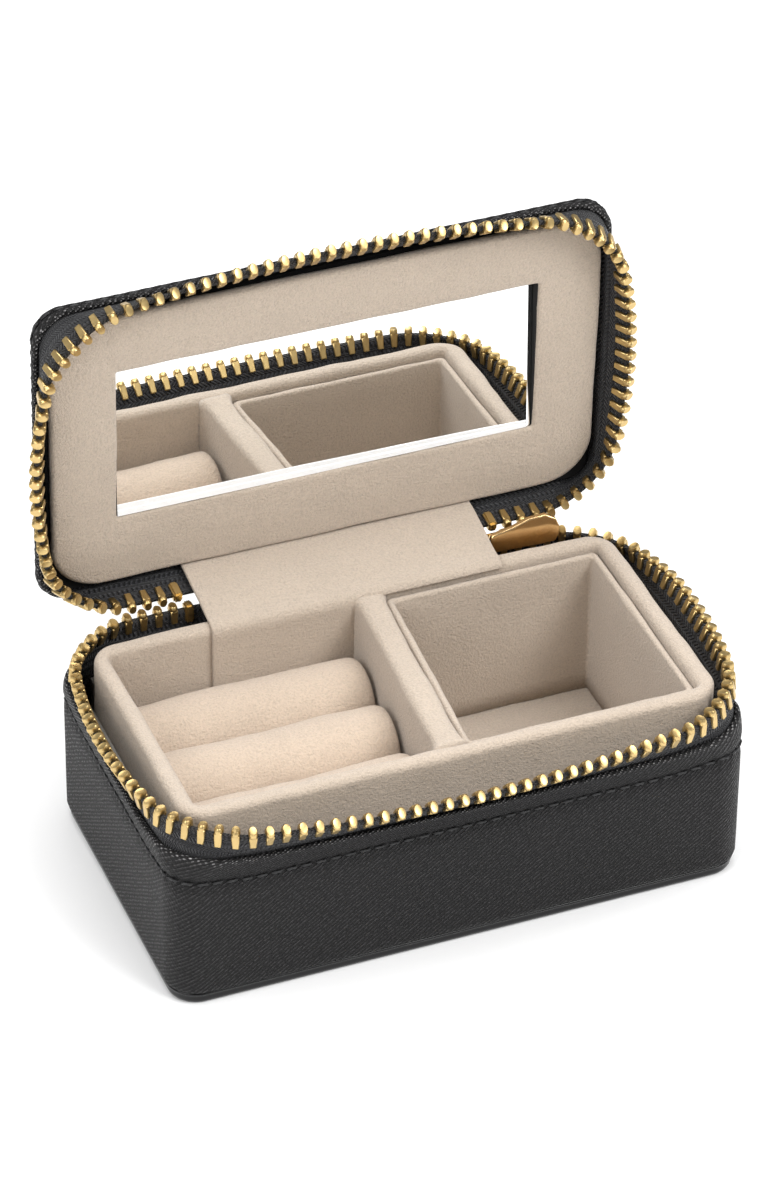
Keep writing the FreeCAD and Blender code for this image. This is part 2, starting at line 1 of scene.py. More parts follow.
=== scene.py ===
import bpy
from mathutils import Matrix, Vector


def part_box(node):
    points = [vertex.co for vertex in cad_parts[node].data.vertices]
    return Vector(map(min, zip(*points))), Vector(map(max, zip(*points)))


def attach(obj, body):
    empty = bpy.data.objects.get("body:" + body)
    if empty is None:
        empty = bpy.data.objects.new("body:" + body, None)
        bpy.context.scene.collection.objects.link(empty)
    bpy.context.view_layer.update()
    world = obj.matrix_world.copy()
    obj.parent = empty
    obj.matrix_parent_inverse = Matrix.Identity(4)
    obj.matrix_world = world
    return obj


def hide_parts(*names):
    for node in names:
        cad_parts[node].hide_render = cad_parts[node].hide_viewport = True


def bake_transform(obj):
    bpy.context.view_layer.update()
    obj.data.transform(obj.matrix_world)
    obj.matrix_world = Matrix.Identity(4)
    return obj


bl_info = {
    "name": "Travel Jewelry Case",
    "version": (1, 0, 0),
    "blender": (4, 5, 0),
    "location": "3D View > Sidebar > Jewelry Case",
    "description": "Builds a zip-around travel jewelry case round its packed frame",
    "category": "Add Mesh",
}

import functools
import math

import bmesh
import bpy
from mathutils import Matrix, Vector, noise

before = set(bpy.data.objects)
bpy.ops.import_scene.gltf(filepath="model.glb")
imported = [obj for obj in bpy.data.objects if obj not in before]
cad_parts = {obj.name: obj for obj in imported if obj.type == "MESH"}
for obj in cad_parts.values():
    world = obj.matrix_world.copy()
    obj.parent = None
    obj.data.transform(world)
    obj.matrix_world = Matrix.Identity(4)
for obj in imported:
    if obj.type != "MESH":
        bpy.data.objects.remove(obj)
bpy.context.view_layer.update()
MM = 0.001


@functools.lru_cache(maxsize=None)
def frame_box(node):
    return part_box(node)


# ---------------------------------------------------------------- sizes and colours

def size(name, text, default):
    return bpy.props.FloatProperty(name=name, description=text, default=default * MM,
                                   min=0.0, unit="LENGTH", precision=5)


def colour(name, text, default):
    return bpy.props.FloatVectorProperty(name=name, description=text, default=default,
                                         subtype="COLOR", size=4, min=0.0, max=1.0)


class ShellSizes(bpy.types.PropertyGroup):
    length: size("Length", "Outer length of the case", 100.0)
    width: size("Width", "Outer width of the case", 58.0)
    corner: size("Corner radius", "Radius of the upright corners", 5.5)
    leather: size("Leather", "Thickness of the leatherette and its backing", 1.0)
    bottom: size("Bottom plate", "Thickness of the bottom plate", 2.0)
    lip: size("Lip", "How far the leather's upper edge climbs the zip tape", 1.4)
    base_edge: size("Base edge", "Height of the base's leather edge", 27.0)
    hinge_inset: size("Hinge inset", "Hinge line in from the back face", 0.8)
    hinge_rise: size("Hinge rise", "Hinge line above the base's leather edge", 9.4)
    lid_edge: size("Lid edge", "Lid's leather edge above the hinge line when closed", 7.6)
    lid_depth: size("Lid depth", "Lid's top above the hinge line when closed", 11.1)
    open_angle: bpy.props.FloatProperty(name="Open angle", description="Lid angle at rest",
                                        default=math.radians(88.0), subtype="ANGLE")


class LiningSizes(bpy.types.PropertyGroup):
    rim: size("Rim", "Height of the tray's rim above the table", 35.4)
    wall: size("Wall", "Thickness of the tray's walls", 3.0)
    rim_round: size("Rim rounding", "Rounding of the tray's rim", 1.25)
    liner: size("Liner", "Thickness of the compartment liner", 1.2)
    flap: size("Flap", "Thickness of the hinge flap", 0.7)
    softness: size("Softness", "How uneven the suede's surface is", 0.16)


class ZipSizes(bpy.types.PropertyGroup):
    pitch: size("Tooth pitch", "Distance from tooth to tooth", 2.66)
    tooth_width: size("Tooth width", "Tooth size along the row", 1.5)
    leg: size("Leg", "Length of the legs that clamp the tape", 2.1)
    head: size("Head", "Height of a tooth's head over the tape's edge", 1.3)
    tape: size("Tape", "Thickness of the zip tape", 0.5)
    stitch_pitch: size("Stitch pitch", "Distance from stitch to stitch", 2.5)
    stitch_length: size("Stitch length", "Length of one stitch", 1.9)
    stitch_thread: size("Thread", "Thickness of the sewing thread", 0.5)


class CaseColours(bpy.types.PropertyGroup):
    leather: colour("Leatherette", "Ground colour of the leatherette", (0.0042, 0.0039, 0.0041, 1))
    edge: colour("Painted edge", "Colour of the bottom plate's edge", (0.003, 0.003, 0.0035, 1))
    tape: colour("Zip tape", "Colour of the woven tape", (0.0045, 0.0045, 0.0055, 1))
    brass: colour("Zip brass", "Colour of the teeth", (0.66, 0.48, 0.21, 1))
    gold: colour("Slider gold", "Colour of the slider and pull", (0.93, 0.64, 0.32, 1))
    suede: colour("Suede", "Colour of the lining", (0.555, 0.462, 0.372, 1))
    roll: colour("Roll suede", "Colour of the ring rolls", (0.60, 0.485, 0.382, 1))
    thread: colour("Thread", "Colour of the sewing thread", (0.004, 0.004, 0.0045, 1))
    board: colour("Greyboard", "Colour of the stiffening boards", (0.36, 0.34, 0.31, 1))
    foam: colour("Foam", "Colour of the foam", (0.75, 0.72, 0.64, 1))


def shell():
    return bpy.context.scene.case_shell


def lining():
    return bpy.context.scene.case_lining


def zip_sizes():
    return bpy.context.scene.case_zip


def colours():
    return bpy.context.scene.case_colours


# ---------------------------------------------------------------- shader building

def add_node(tree, kind, inputs=None, **settings):
    made = tree.nodes.new(kind)
    for key, value in settings.items():
        setattr(made, key, value)
    for key, value in (inputs or {}).items():
        socket = made.inputs[key]
        if isinstance(value, bpy.types.NodeSocket):
            tree.links.new(value, socket)
        else:
            socket.default_value = value
    return made


def math_node(tree, operation, a, b=0.0):
    return add_node(tree, "ShaderNodeMath", {0: a, 1: b}, operation=operation).outputs[0]


def new_group(name, inputs, outputs):
    tree = bpy.data.node_groups.new(name, "ShaderNodeTree")
    for label, kind, default in inputs:
        socket = tree.interface.new_socket(name=label, in_out="INPUT", socket_type=kind)
        if default is not None:
            socket.default_value = default
    for label, kind in outputs:
        tree.interface.new_socket(name=label, in_out="OUTPUT", socket_type=kind)
    start = tree.nodes.new("NodeGroupInput")
    end = tree.nodes.new("NodeGroupOutput")
    return tree, start.outputs, end.inputs


def ridges_group():
    """Slanted fine ridges with small breaks, as pressed into saffiano leatherette."""
    tree, given, out = new_group(
        "Slanted Ridges",
        [("Vector", "NodeSocketVector", None), ("Pitch", "NodeSocketFloat", 0.00105),
         ("Slant", "NodeSocketFloat", 1.35)],
        [("Height", "NodeSocketFloat"), ("Mask", "NodeSocketFloat")])
    wobble = add_node(tree, "ShaderNodeTexNoise", {"Vector": given["Vector"], "Scale": 420.0,
                                                   "Detail": 2.0, "Roughness": 0.5})
    parts = add_node(tree, "ShaderNodeSeparateXYZ", {0: given["Vector"]}).outputs
    leaned = math_node(tree, "MULTIPLY", parts[1], given["Slant"])
    line = math_node(tree, "ADD", parts[0], leaned)
    drift = math_node(tree, "MULTIPLY", wobble.outputs["Fac"], 0.0006)
    line = math_node(tree, "ADD", line, drift)
    turns = math_node(tree, "DIVIDE", line, given["Pitch"])
    wave = math_node(tree, "SINE", math_node(tree, "MULTIPLY", turns, 2 * math.pi))
    ridge = add_node(tree, "ShaderNodeMapRange", {"Value": wave, "From Min": -0.6, "From Max": 1.0},
                     interpolation_type="SMOOTHSTEP").outputs[0]
    breaks = add_node(tree, "ShaderNodeTexNoise", {"Vector": given["Vector"], "Scale": 1500.0,
                                                   "Detail": 3.0, "Roughness": 0.6})
    cut = add_node(tree, "ShaderNodeMapRange", {"Value": breaks.outputs["Fac"], "From Min": 0.32,
                                                "From Max": 0.55}).outputs[0]
    height = math_node(tree, "MULTIPLY", ridge, cut)
    tree.links.new(height, out["Height"])
    tree.links.new(math_node(tree, "MULTIPLY", height, height), out["Mask"])
    return tree


def grain_group():
    """Fine random grain with a slow drift of tone, for leather, board and metal."""
    tree, given, out = new_group(
        "Fine Grain",
        [("Vector", "NodeSocketVector", None), ("Scale", "NodeSocketFloat", 2000.0),
         ("Drift Scale", "NodeSocketFloat", 60.0)],
        [("Grain", "NodeSocketFloat"), ("Drift", "NodeSocketFloat")])
    fine = add_node(tree, "ShaderNodeTexNoise", {"Vector": given["Vector"], "Scale": given["Scale"],
                                                 "Detail": 4.0, "Roughness": 0.6})
    slow = add_node(tree, "ShaderNodeTexNoise", {"Vector": given["Vector"],
                                                 "Scale": given["Drift Scale"], "Detail": 3.0})
    tree.links.new(fine.outputs["Fac"], out["Grain"])
    tree.links.new(slow.outputs["Fac"], out["Drift"])
    return tree


def nap_group():
    """Short brushed fibres: specks, strands that lie one way, and soft patches."""
    tree, given, out = new_group(
        "Brushed Nap",
        [("Vector", "NodeSocketVector", None), ("Fibre Scale", "NodeSocketFloat", 2600.0),
         ("Patch Scale", "NodeSocketFloat", 110.0)],
        [("Height", "NodeSocketFloat"), ("Speck", "NodeSocketFloat"), ("Patch", "NodeSocketFloat")])
    speck = add_node(tree, "ShaderNodeTexNoise", {"Vector": given["Vector"],
                                                  "Scale": given["Fibre Scale"],
                                                  "Detail": 3.0, "Roughness": 0.7})
    stretched = add_node(tree, "ShaderNodeVectorMath", {0: given["Vector"], 1: (0.6, 1.0, 0.85)},
                         operation="MULTIPLY").outputs[0]
    strands = add_node(tree, "ShaderNodeTexNoise", {"Vector": stretched, "Scale": 1500.0,
                                                    "Detail": 4.0, "Roughness": 0.7})
    patch = add_node(tree, "ShaderNodeTexNoise", {"Vector": given["Vector"],
                                                  "Scale": given["Patch Scale"],
                                                  "Detail": 2.0, "Roughness": 0.5})
    mixed = math_node(tree, "ADD", math_node(tree, "MULTIPLY", speck.outputs["Fac"], 0.75),
                      math_node(tree, "MULTIPLY", strands.outputs["Fac"], 0.35))
    tree.links.new(mixed, out["Height"])
    tree.links.new(speck.outputs["Fac"], out["Speck"])
    tree.links.new(patch.outputs["Fac"], out["Patch"])
    return tree


def weave_group():
    """Herringbone weave that follows a strip's own map: length along it and width across."""
    tree, given, out = new_group(
        "Herringbone Weave",
        [("Vector", "NodeSocketVector", None), ("Rib", "NodeSocketFloat", 0.0009),
         ("Yarn", "NodeSocketFloat", 0.00075)],
        [("Height", "NodeSocketFloat"), ("Yarn Mask", "NodeSocketFloat")])
    parts = add_node(tree, "ShaderNodeSeparateXYZ", {0: given["Vector"]}).outputs
    fold = math_node(tree, "PINGPONG", parts[1], given["Rib"])
    line = math_node(tree, "ADD", parts[0], fold)
    turns = math_node(tree, "MULTIPLY", math_node(tree, "DIVIDE", line, given["Yarn"]), math.pi)
    yarn = math_node(tree, "ABSOLUTE", math_node(tree, "SINE", turns))
    across = math_node(tree, "DIVIDE", parts[1], given["Rib"])
    rib = math_node(tree, "ABSOLUTE", math_node(tree, "SINE", math_node(tree, "MULTIPLY", across,
                                                                        math.pi)))
    height = math_node(tree, "MULTIPLY", yarn, math_node(tree, "ADD", 0.45,
                                                         math_node(tree, "MULTIPLY", rib, 0.55)))
    fuzz = add_node(tree, "ShaderNodeTexNoise", {"Vector": given["Vector"], "Scale": 5200.0,
                                                 "Detail": 2.0})
    height = math_node(tree, "ADD", height, math_node(tree, "MULTIPLY", fuzz.outputs["Fac"], 0.35))
    tree.links.new(height, out["Height"])
    tree.links.new(yarn, out["Yarn Mask"])
    return tree


def shared_group(name, maker):
    return bpy.data.node_groups.get(name) or maker()


def place_group(tree, name, maker, **inputs):
    placed = add_node(tree, "ShaderNodeGroup", node_tree=shared_group(name, maker))
    for key, value in inputs.items():
        socket = placed.inputs[key.replace("_", " ")]
        if isinstance(value, bpy.types.NodeSocket):
            tree.links.new(value, socket)
        else:
            socket.default_value = value
    return placed.outputs


def new_material(name):
    material = bpy.data.materials.get(name)
    if material:
        return material, None, None
    material = bpy.data.materials.new(name)
    material.use_nodes = True
    tree = material.node_tree
    return material, tree, tree.nodes["Principled BSDF"]


def object_vector(tree):
    return tree.nodes.new("ShaderNodeTexCoord").outputs["Object"]


def map_vector(tree):
    return add_node(tree, "ShaderNodeUVMap", uv_map="UVMap").outputs["UV"]


def tint(value, gain):
    return (min(value[0] * gain, 1), min(value[1] * gain, 1), min(value[2] * gain, 1), 1)


def mix_colour(tree, factor, a, b):
    made = add_node(tree, "ShaderNodeMix", data_type="RGBA")
    tree.links.new(factor, made.inputs[0])
    for index, value in ((6, a), (7, b)):
        if isinstance(value, bpy.types.NodeSocket):
            tree.links.new(value, made.inputs[index])
        else:
            made.inputs[index].default_value = value
    return made.outputs[2]


def spread(tree, value, low, high):
    return add_node(tree, "ShaderNodeMapRange", {"Value": value, "To Min": low, "To Max": high}).outputs[0]


def bump(tree, height, distance, strength=1.0, normal=None):
    inputs = {"Height": height, "Distance": distance, "Strength": strength}
    if normal is not None:
        inputs["Normal"] = normal
    return add_node(tree, "ShaderNodeBump", inputs).outputs[0]


def leatherette():
    material, tree, shader = new_material("Saffiano Leatherette")
    if tree is None:
        return material
    own = map_vector(tree)
    base = colours().leather
    ridges = place_group(tree, "Slanted Ridges", ridges_group, Vector=own, Pitch=0.00105)
    grain = place_group(tree, "Fine Grain", grain_group, Vector=own, Scale=2600.0)
    cross = place_group(tree, "Slanted Ridges", ridges_group, Vector=own, Pitch=0.0007, Slant=-0.8)
    tone = mix_colour(tree, grain["Drift"], tint(base, 0.5), tint(base, 1.1))
    # Painted highlight: the ridge tops are lightened to nine times the ground colour.
    lit = mix_colour(tree, math_node(tree, "MULTIPLY", ridges["Mask"], 0.9), tone, tint(base, 9.0))
    # Painted highlight: pale dots on the ridges along the leather's edge.
    edge = add_node(tree, "ShaderNodeAttribute", attribute_name="lip_highlight").outputs["Fac"]
    dots = math_node(tree, "MULTIPLY", ridges["Height"], cross["Height"])
    dots = add_node(tree, "ShaderNodeMapRange", {"Value": dots, "From Min": 0.12, "From Max": 0.7}).outputs[0]
    pale = math_node(tree, "MULTIPLY", dots, edge)
    tree.links.new(mix_colour(tree, pale, lit, (0.36, 0.35, 0.35, 1)), shader.inputs["Base Color"])
    tree.links.new(spread(tree, ridges["Mask"], 0.6, 0.36), shader.inputs["Roughness"])
    both = math_node(tree, "ADD", ridges["Height"], math_node(tree, "MULTIPLY", cross["Height"], 0.3))
    coarse = bump(tree, both, 0.00042)
    fine = bump(tree, grain["Grain"], 0.00008, 0.6, coarse)
    tree.links.new(fine, shader.inputs["Normal"])
    shader.inputs["Specular IOR Level"].default_value = 0.3
    return material


def painted_edge():
    material, tree, shader = new_material("Painted Edge")
    if tree is None:
        return material
    grain = place_group(tree, "Fine Grain", grain_group, Vector=object_vector(tree), Scale=900.0)
    base = colours().edge
    tree.links.new(mix_colour(tree, grain["Drift"], tint(base, 0.7), tint(base, 1.2)),
                   shader.inputs["Base Color"])
    tree.links.new(spread(tree, grain["Grain"], 0.12, 0.26), shader.inputs["Roughness"])
    tree.links.new(bump(tree, grain["Drift"], 0.0004, 0.5), shader.inputs["Normal"])
    shader.inputs["Specular IOR Level"].default_value = 0.25
    shader.inputs["Coat Weight"].default_value = 0.15
    return material


def woven_tape():
    material, tree, shader = new_material("Woven Zip Tape")
    if tree is None:
        return material
    own = map_vector(tree)
    base = colours().tape
    weave = place_group(tree, "Herringbone Weave", weave_group, Vector=own)
    # Painted highlight on the yarn tops and painted shade in the gaps between the yarns.
    tree.links.new(mix_colour(tree, weave["Yarn Mask"], tint(base, 0.25), tint(base, 4.5)),
                   shader.inputs["Base Color"])
    tree.links.new(spread(tree, weave["Height"], 0.85, 0.42), shader.inputs["Roughness"])
    tree.links.new(bump(tree, weave["Height"], 0.0006), shader.inputs["Normal"])
    shader.inputs["Sheen Weight"].default_value = 0.12
    shader.inputs["Specular IOR Level"].default_value = 0.35
    return material


def metal(name, base, rough):
    material, tree, shader = new_material(name)
    if tree is None:
        return material
    grain = place_group(tree, "Fine Grain", grain_group, Vector=object_vector(tree), Scale=1800.0,
                        Drift_Scale=260.0)
    tree.links.new(mix_colour(tree, grain["Drift"], tint(base, 0.72), tint(base, 1.08)),
                   shader.inputs["Base Color"])
    shader.inputs["Metallic"].default_value = 1.0
    tree.links.new(spread(tree, grain["Grain"], rough * 0.7, rough * 1.5), shader.inputs["Roughness"])
    tree.links.new(bump(tree, grain["Drift"], 0.00003, 0.6), shader.inputs["Normal"])
    return material


def suede(name, base):
    material, tree, shader = new_material(name)
    if tree is None:
        return material
    nap = place_group(tree, "Brushed Nap", nap_group, Vector=object_vector(tree))
    tone = mix_colour(tree, nap["Patch"], tint(base, 0.90), tint(base, 1.08))
    fleck = add_node(tree, "ShaderNodeMapRange", {"Value": nap["Speck"], "From Min": 0.36,
                                                  "From Max": 0.62}).outputs[0]
    specks = mix_colour(tree, fleck, tint(base, 0.74), tint(base, 1.13))
    tree.links.new(mix_colour(tree, spread(tree, nap["Height"], 0.15, 0.85), specks, tone),
                   shader.inputs["Base Color"])
    shader.inputs["Roughness"].default_value = 0.95
    shader.inputs["Specular IOR Level"].default_value = 0.15
    shader.inputs["Sheen Weight"].default_value = 0.35
    shader.inputs["Sheen Roughness"].default_value = 0.5
    tree.links.new(bump(tree, nap["Height"], 0.0005), shader.inputs["Normal"])
    return material


def lining_suede():
    return suede("Lining Suede", colours().suede)


def roll_suede():
    return suede("Roll Suede", colours().roll)


def zip_brass():
    return metal("Zip Brass", colours().brass, 0.33)


def slider_gold():
    return metal("Slider Gold", colours().gold, 0.14)


def plain(name, base, scale, distance):
    material, tree, shader = new_material(name)
    if tree is None:
        return material
    grain = place_group(tree, "Fine Grain", grain_group, Vector=object_vector(tree), Scale=scale)
    tree.links.new(mix_colour(tree, grain["Grain"], tint(base, 0.7), tint(base, 1.15)),
                   shader.inputs["Base Color"])
    shader.inputs["Roughness"].default_value = 0.85
    tree.links.new(bump(tree, grain["Grain"], distance), shader.inputs["Normal"])
    return material


def sewing_thread():
    material, tree, shader = new_material("Sewing Thread")
    if tree is None:
        return material
    grain = place_group(tree, "Fine Grain", grain_group, Vector=object_vector(tree), Scale=4200.0)
    base = colours().thread
    tree.links.new(mix_colour(tree, grain["Grain"], tint(base, 0.6), tint(base, 2.6)),
                   shader.inputs["Base Color"])
    tree.links.new(spread(tree, grain["Grain"], 0.35, 0.6), shader.inputs["Roughness"])
    tree.links.new(bump(tree, grain["Grain"], 0.00008), shader.inputs["Normal"])
    return material


def mirror_glass():
    material, tree, shader = new_material("Silvered Glass")
    if tree is None:
        return material
    grain = place_group(tree, "Fine Grain", grain_group, Vector=object_vector(tree), Scale=90.0)
    shader.inputs["Metallic"].default_value = 1.0
    tree.links.new(mix_colour(tree, grain["Drift"], (0.93, 0.94, 0.94, 1), (0.96, 0.965, 0.96, 1)),
                   shader.inputs["Base Color"])
    tree.links.new(spread(tree, grain["Grain"], 0.0, 0.012), shader.inputs["Roughness"])
    return material


def ground_glass():
    material, tree, shader = new_material("Ground Glass Edge")
    if tree is None:
        return material
    grain = place_group(tree, "Fine Grain", grain_group, Vector=object_vector(tree), Scale=700.0,
                        Drift_Scale=300.0)
    tree.links.new(mix_colour(tree, grain["Drift"], (0.86, 0.87, 0.87, 1), (0.98, 0.98, 0.98, 1)),
                   shader.inputs["Base Color"])
    tree.links.new(spread(tree, grain["Grain"], 0.15, 0.35), shader.inputs["Roughness"])
    tree.links.new(bump(tree, grain["Drift"], 0.0002, 0.4), shader.inputs["Normal"])
    shader.inputs["Coat Weight"].default_value = 0.6
    return material


# ---------------------------------------------------------------- mesh building

def new_piece(name, bm, material, smooth=True):
    mesh = bpy.data.meshes.new(name)
    bm.to_mesh(mesh)
    bm.free()
    mesh.materials.append(material)
    mesh.polygons.foreach_set("use_smooth", [smooth] * len(mesh.polygons))
    piece = bpy.data.objects.new(name, mesh)
    bpy.context.scene.collection.objects.link(piece)
    return piece


def loft(rings, closed_profile=False, cap_start=False, cap_end=False):
    """Skin closed rings of equal count; the map holds metres along and across."""
    bm = bmesh.new()
    rows = [[bm.verts.new(p) for p in ring] for ring in rings]
    layer = bm.loops.layers.uv.new("UVMap")
    count = len(rings[0])
    along = [0.0]
    middle = rings[len(rings) // 2]
    for i in range(count):
        along.append(along[-1] + (middle[(i + 1) % count] - middle[i]).length)
    across = [0.0]
    for a, b in zip(rings[:-1], rings[1:]):
        across.append(across[-1] + (b[0] - a[0]).length)
    pairs = list(zip(range(len(rows) - 1), range(1, len(rows))))
    if closed_profile:
        pairs.append((len(rows) - 1, 0))
        across.append(across[-1] + (rings[0][0] - rings[-1][0]).length)
    for step, (i, j) in enumerate(pairs):
        for k in range(count):
            n = (k + 1) % count
            face = bm.faces.new((rows[i][k], rows[i][n], rows[j][n], rows[j][k]))
            corners = ((along[k], across[step]), (along[k + 1], across[step]),
                       (along[k + 1], across[step + 1]), (along[k], across[step + 1]))
            for corner, spot in zip(face.loops, corners):
                corner[layer].uv = spot
    if cap_start:
        bm.faces.new(rows[0][::-1])
    if cap_end:
        bm.faces.new(rows[-1])
    bmesh.ops.recalc_face_normals(bm, faces=bm.faces)
    return bm


def mark_edge(bm, z_edge, reach, lid=False):
    """Vertices near the leather's cut edge, weighted for a painted pale highlight on its ridges."""
    layer = bm.verts.layers.float.new("lip_highlight")
    for v in bm.verts:
        climb = 0.0 if lid else edge_climb(v.co.x, v.co.y)
        v[layer] = math.exp(-((v.co.z - climb - z_edge) / reach) ** 2)


def remap_flat(bm, normal_axis, axes):
    """Faces that look along normal_axis take their map from two position axes."""
    layer = bm.loops.layers.uv.verify()
    bm.normal_update()
    for face in bm.faces:
        if abs(face.normal[normal_axis]) > 0.75:
            for corner in face.loops:
                corner[layer].uv = (corner.vert.co[axes[0]], corner.vert.co[axes[1]])


def soften(bm, amount, scale, seed=0.0):
    """Push vertices along their normals by smooth noise, so that no cloth face is flat."""
    bm.normal_update()
    shift = Vector((seed, seed * 0.7, -seed))
    moves = [v.normal * (noise.noise(v.co * scale + shift) * amount) for v in bm.verts]
    for vert, move in zip(bm.verts, moves):
        vert.co += move


def turned_lid():
    s = shell()
    pivot = Vector((0, s.width / 2 - s.hinge_inset, s.base_edge + s.hinge_rise))
    turn = Matrix.Rotation(-s.open_angle, 4, "X")
    return Matrix.Translation(pivot) @ turn @ Matrix.Translation(-pivot)


def loop_steps(spacing):
    """Run parameters 0..9 of the zip's loop, spaced about evenly for a loop of the case's size."""
    s = shell()
    straight_x = s.length / 2 - 2 * s.corner
    straight_y = s.width - 4 * s.corner
    corner = math.pi / 2 * s.corner * 1.6
    lengths = (straight_x, corner, straight_y, corner, 2 * straight_x, corner, straight_y, corner,
               straight_x)
    steps = []
    for run, length in enumerate(lengths):
        count = max(4, round(length / spacing))
        steps += [run + k / count for k in range(count)]
    return steps


def loop_point(u, half_x, front, back, r):
    """Point of a rounded rectangle; u in 0..9, one unit a run, from the back middle."""
    run = min(int(u), 8)
    f = u - run
    x_in = half_x - r
    y_front = -front + r
    y_back = back - r
    straights = {0: ((0, back), (x_in, back)), 2: ((half_x, y_back), (half_x, y_front)),
                 4: ((x_in, -front), (-x_in, -front)), 6: ((-half_x, y_front), (-half_x, y_back)),
                 8: ((-x_in, back), (0, back))}
    corners = {1: (x_in, y_back, 90), 3: (x_in, y_front, 0), 5: (-x_in, y_front, -90),
               7: (-x_in, y_back, -180)}
    if run in straights:
        (xa, ya), (xb, yb) = straights[run]
        return xa + (xb - xa) * f, ya + (yb - ya) * f
    cx, cy, start = corners[run]
    angle = math.radians(start - 90 * f)
    return cx + r * math.cos(angle), cy + r * math.sin(angle)


def wall_ring(steps, out, z):
    """Ring on the case's wall, moved outward by out."""
    s = shell()
    ring = []
    for u in steps:
        half_y = s.width / 2 + out
        x, y = loop_point(u, s.length / 2 + out, half_y, half_y, s.corner + out)
        ring.append(Vector((x, y, z)))
    return ring


def smooth_step(f):
    f = min(max(f, 0.0), 1.0)
    return f * f * (3 - 2 * f)


# ---------------------------------------------------------------- leather shell

def seam_pucker(along, out, near):
    """Leather drawn in at each stitch: near is 1 on the seam and fades to 0."""
    pull = 0.5 + 0.5 * math.cos(2 * math.pi * along / zip_sizes().stitch_pitch)
    return out - near * (0.10 + 0.22 * pull) * MM


def edge_climb(x, y):
    """The leather's edge stands a little higher where the tape cuts across a corner."""
    s = shell()
    near_x = smooth_step((abs(x) - s.length / 2 + 15 * MM) / (14 * MM))
    near_y = smooth_step((abs(y) - s.width / 2 + 15 * MM) / (14 * MM))
    return (0.5 + 1.3 * near_x * near_y) * MM


def puckered_wall(profile, seam_z, lid=False, spacing=0.6 * MM):
    """Rings of the leather wall; the seam draws it in and its open edge follows the zip tape."""
    steps = loop_steps(spacing)
    flat = wall_ring(steps, 0.0, 0.0)
    along = [0.0]
    for a, b in zip(flat[:-1], flat[1:]):
        along.append(along[-1] + (b - a).length)
    rings = []
    s = shell()
    for out, z in profile:
        near = math.exp(-((z - seam_z) / (1.1 * MM)) ** 2)
        ring = []
        for u, run in zip(steps, along):
            o = seam_pucker(run, out, near) if out > -0.6 * MM else out
            half_y = s.width / 2 + o
            x, y = loop_point(u, s.length / 2 + o, half_y, half_y, s.corner + o)
            if not lid:
                rise = edge_climb(x, y) * smooth_step((z - 15 * MM) / (8 * MM))
                ring.append(Vector((x, y, z + rise)) + tape_lean(u, z + rise, lid))
            else:
                ring.append(Vector((x, y, z)) + tape_lean(u, z, lid))
        rings.append(ring)
    return rings


def build_base_cover():
    s = shell()
    edge = s.base_edge + s.lip
    t = s.leather
    seam = s.base_edge - 3.5 * MM
    low = s.bottom + 0.4 * MM
    profile = [(-t, low), (-0.5 * MM, low - 0.1 * MM), (-0.15 * MM, low + 0.15 * MM), (0.0, low + 0.7 * MM)]
    count = 16
    for k in range(1, count):
        profile.append((0.0, low + 0.7 * MM + (seam - 0.9 * MM - low - 0.7 * MM) * k / count))
    profile += [(-0.03 * MM, seam - 0.5 * MM), (-0.16 * MM, seam - 0.2 * MM), (-0.22 * MM, seam),
                (-0.14 * MM, seam + 0.25 * MM), (0.02 * MM, seam + 0.6 * MM), (0.12 * MM, seam + 1.1 * MM),
                (0.18 * MM, seam + 1.8 * MM), (0.18 * MM, seam + 2.6 * MM), (0.16 * MM, seam + 3.4 * MM),
                (0.10 * MM, edge - 0.7 * MM),
                (0.0, edge - 0.28 * MM), (-0.3 * MM, edge - 0.06 * MM), (-0.6 * MM, edge),
                (-0.88 * MM, edge - 0.12 * MM), (-t, edge - 0.5 * MM),
                (-t, edge - 1.2 * MM), (-t, edge - 2 * MM), (-t, edge - 3 * MM), (-t, edge - 5 * MM)]
    bm = loft(puckered_wall(profile, seam), closed_profile=True)
    # Weights for the painted highlight along the leather's upper edge.
    mark_edge(bm, edge - 0.1 * MM, 0.4 * MM)
    soften(bm, 0.10 * MM, 60.0, 2.0)
    piece = new_piece("base_cover", bm, leatherette())
    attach(piece, "base")
    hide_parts("base_leather_cover")


def build_bottom_plate():
    s = shell()
    steps = loop_steps(1.2 * MM)
    rows = [(-30, 0.0), (-8, 0.0), (-1.7, 0.0), (-1.1, 0.06), (-0.78, 0.25), (-0.6, 0.6), (-0.55, 1.05),
            (-0.58, 1.45), (-0.5, 1.7), (-0.32, 1.85), (-0.26, 2.02),
            (-0.34, 2.2), (-0.55, 2.3), (-1.2, 2.32)]
    rings = []
    for out, z in rows:
        ring = []
        for u in steps:
            if out < -20:
                x, y = loop_point(u, s.length / 2 - 24 * MM, 5 * MM, 5 * MM, 2 * MM)
            else:
                o = out * MM
                x, y = loop_point(u, s.length / 2 + o, s.width / 2 + o, s.width / 2 + o,
                                  max(s.corner + o, 1.0 * MM))
            ring.append(Vector((x, y, z * MM)))
        rings.append(ring)
    bm = loft(rings, cap_start=True, cap_end=True)
    piece = new_piece("bottom_plate", bm, painted_edge())
    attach(piece, "base")
    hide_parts("base_bottom_plate")


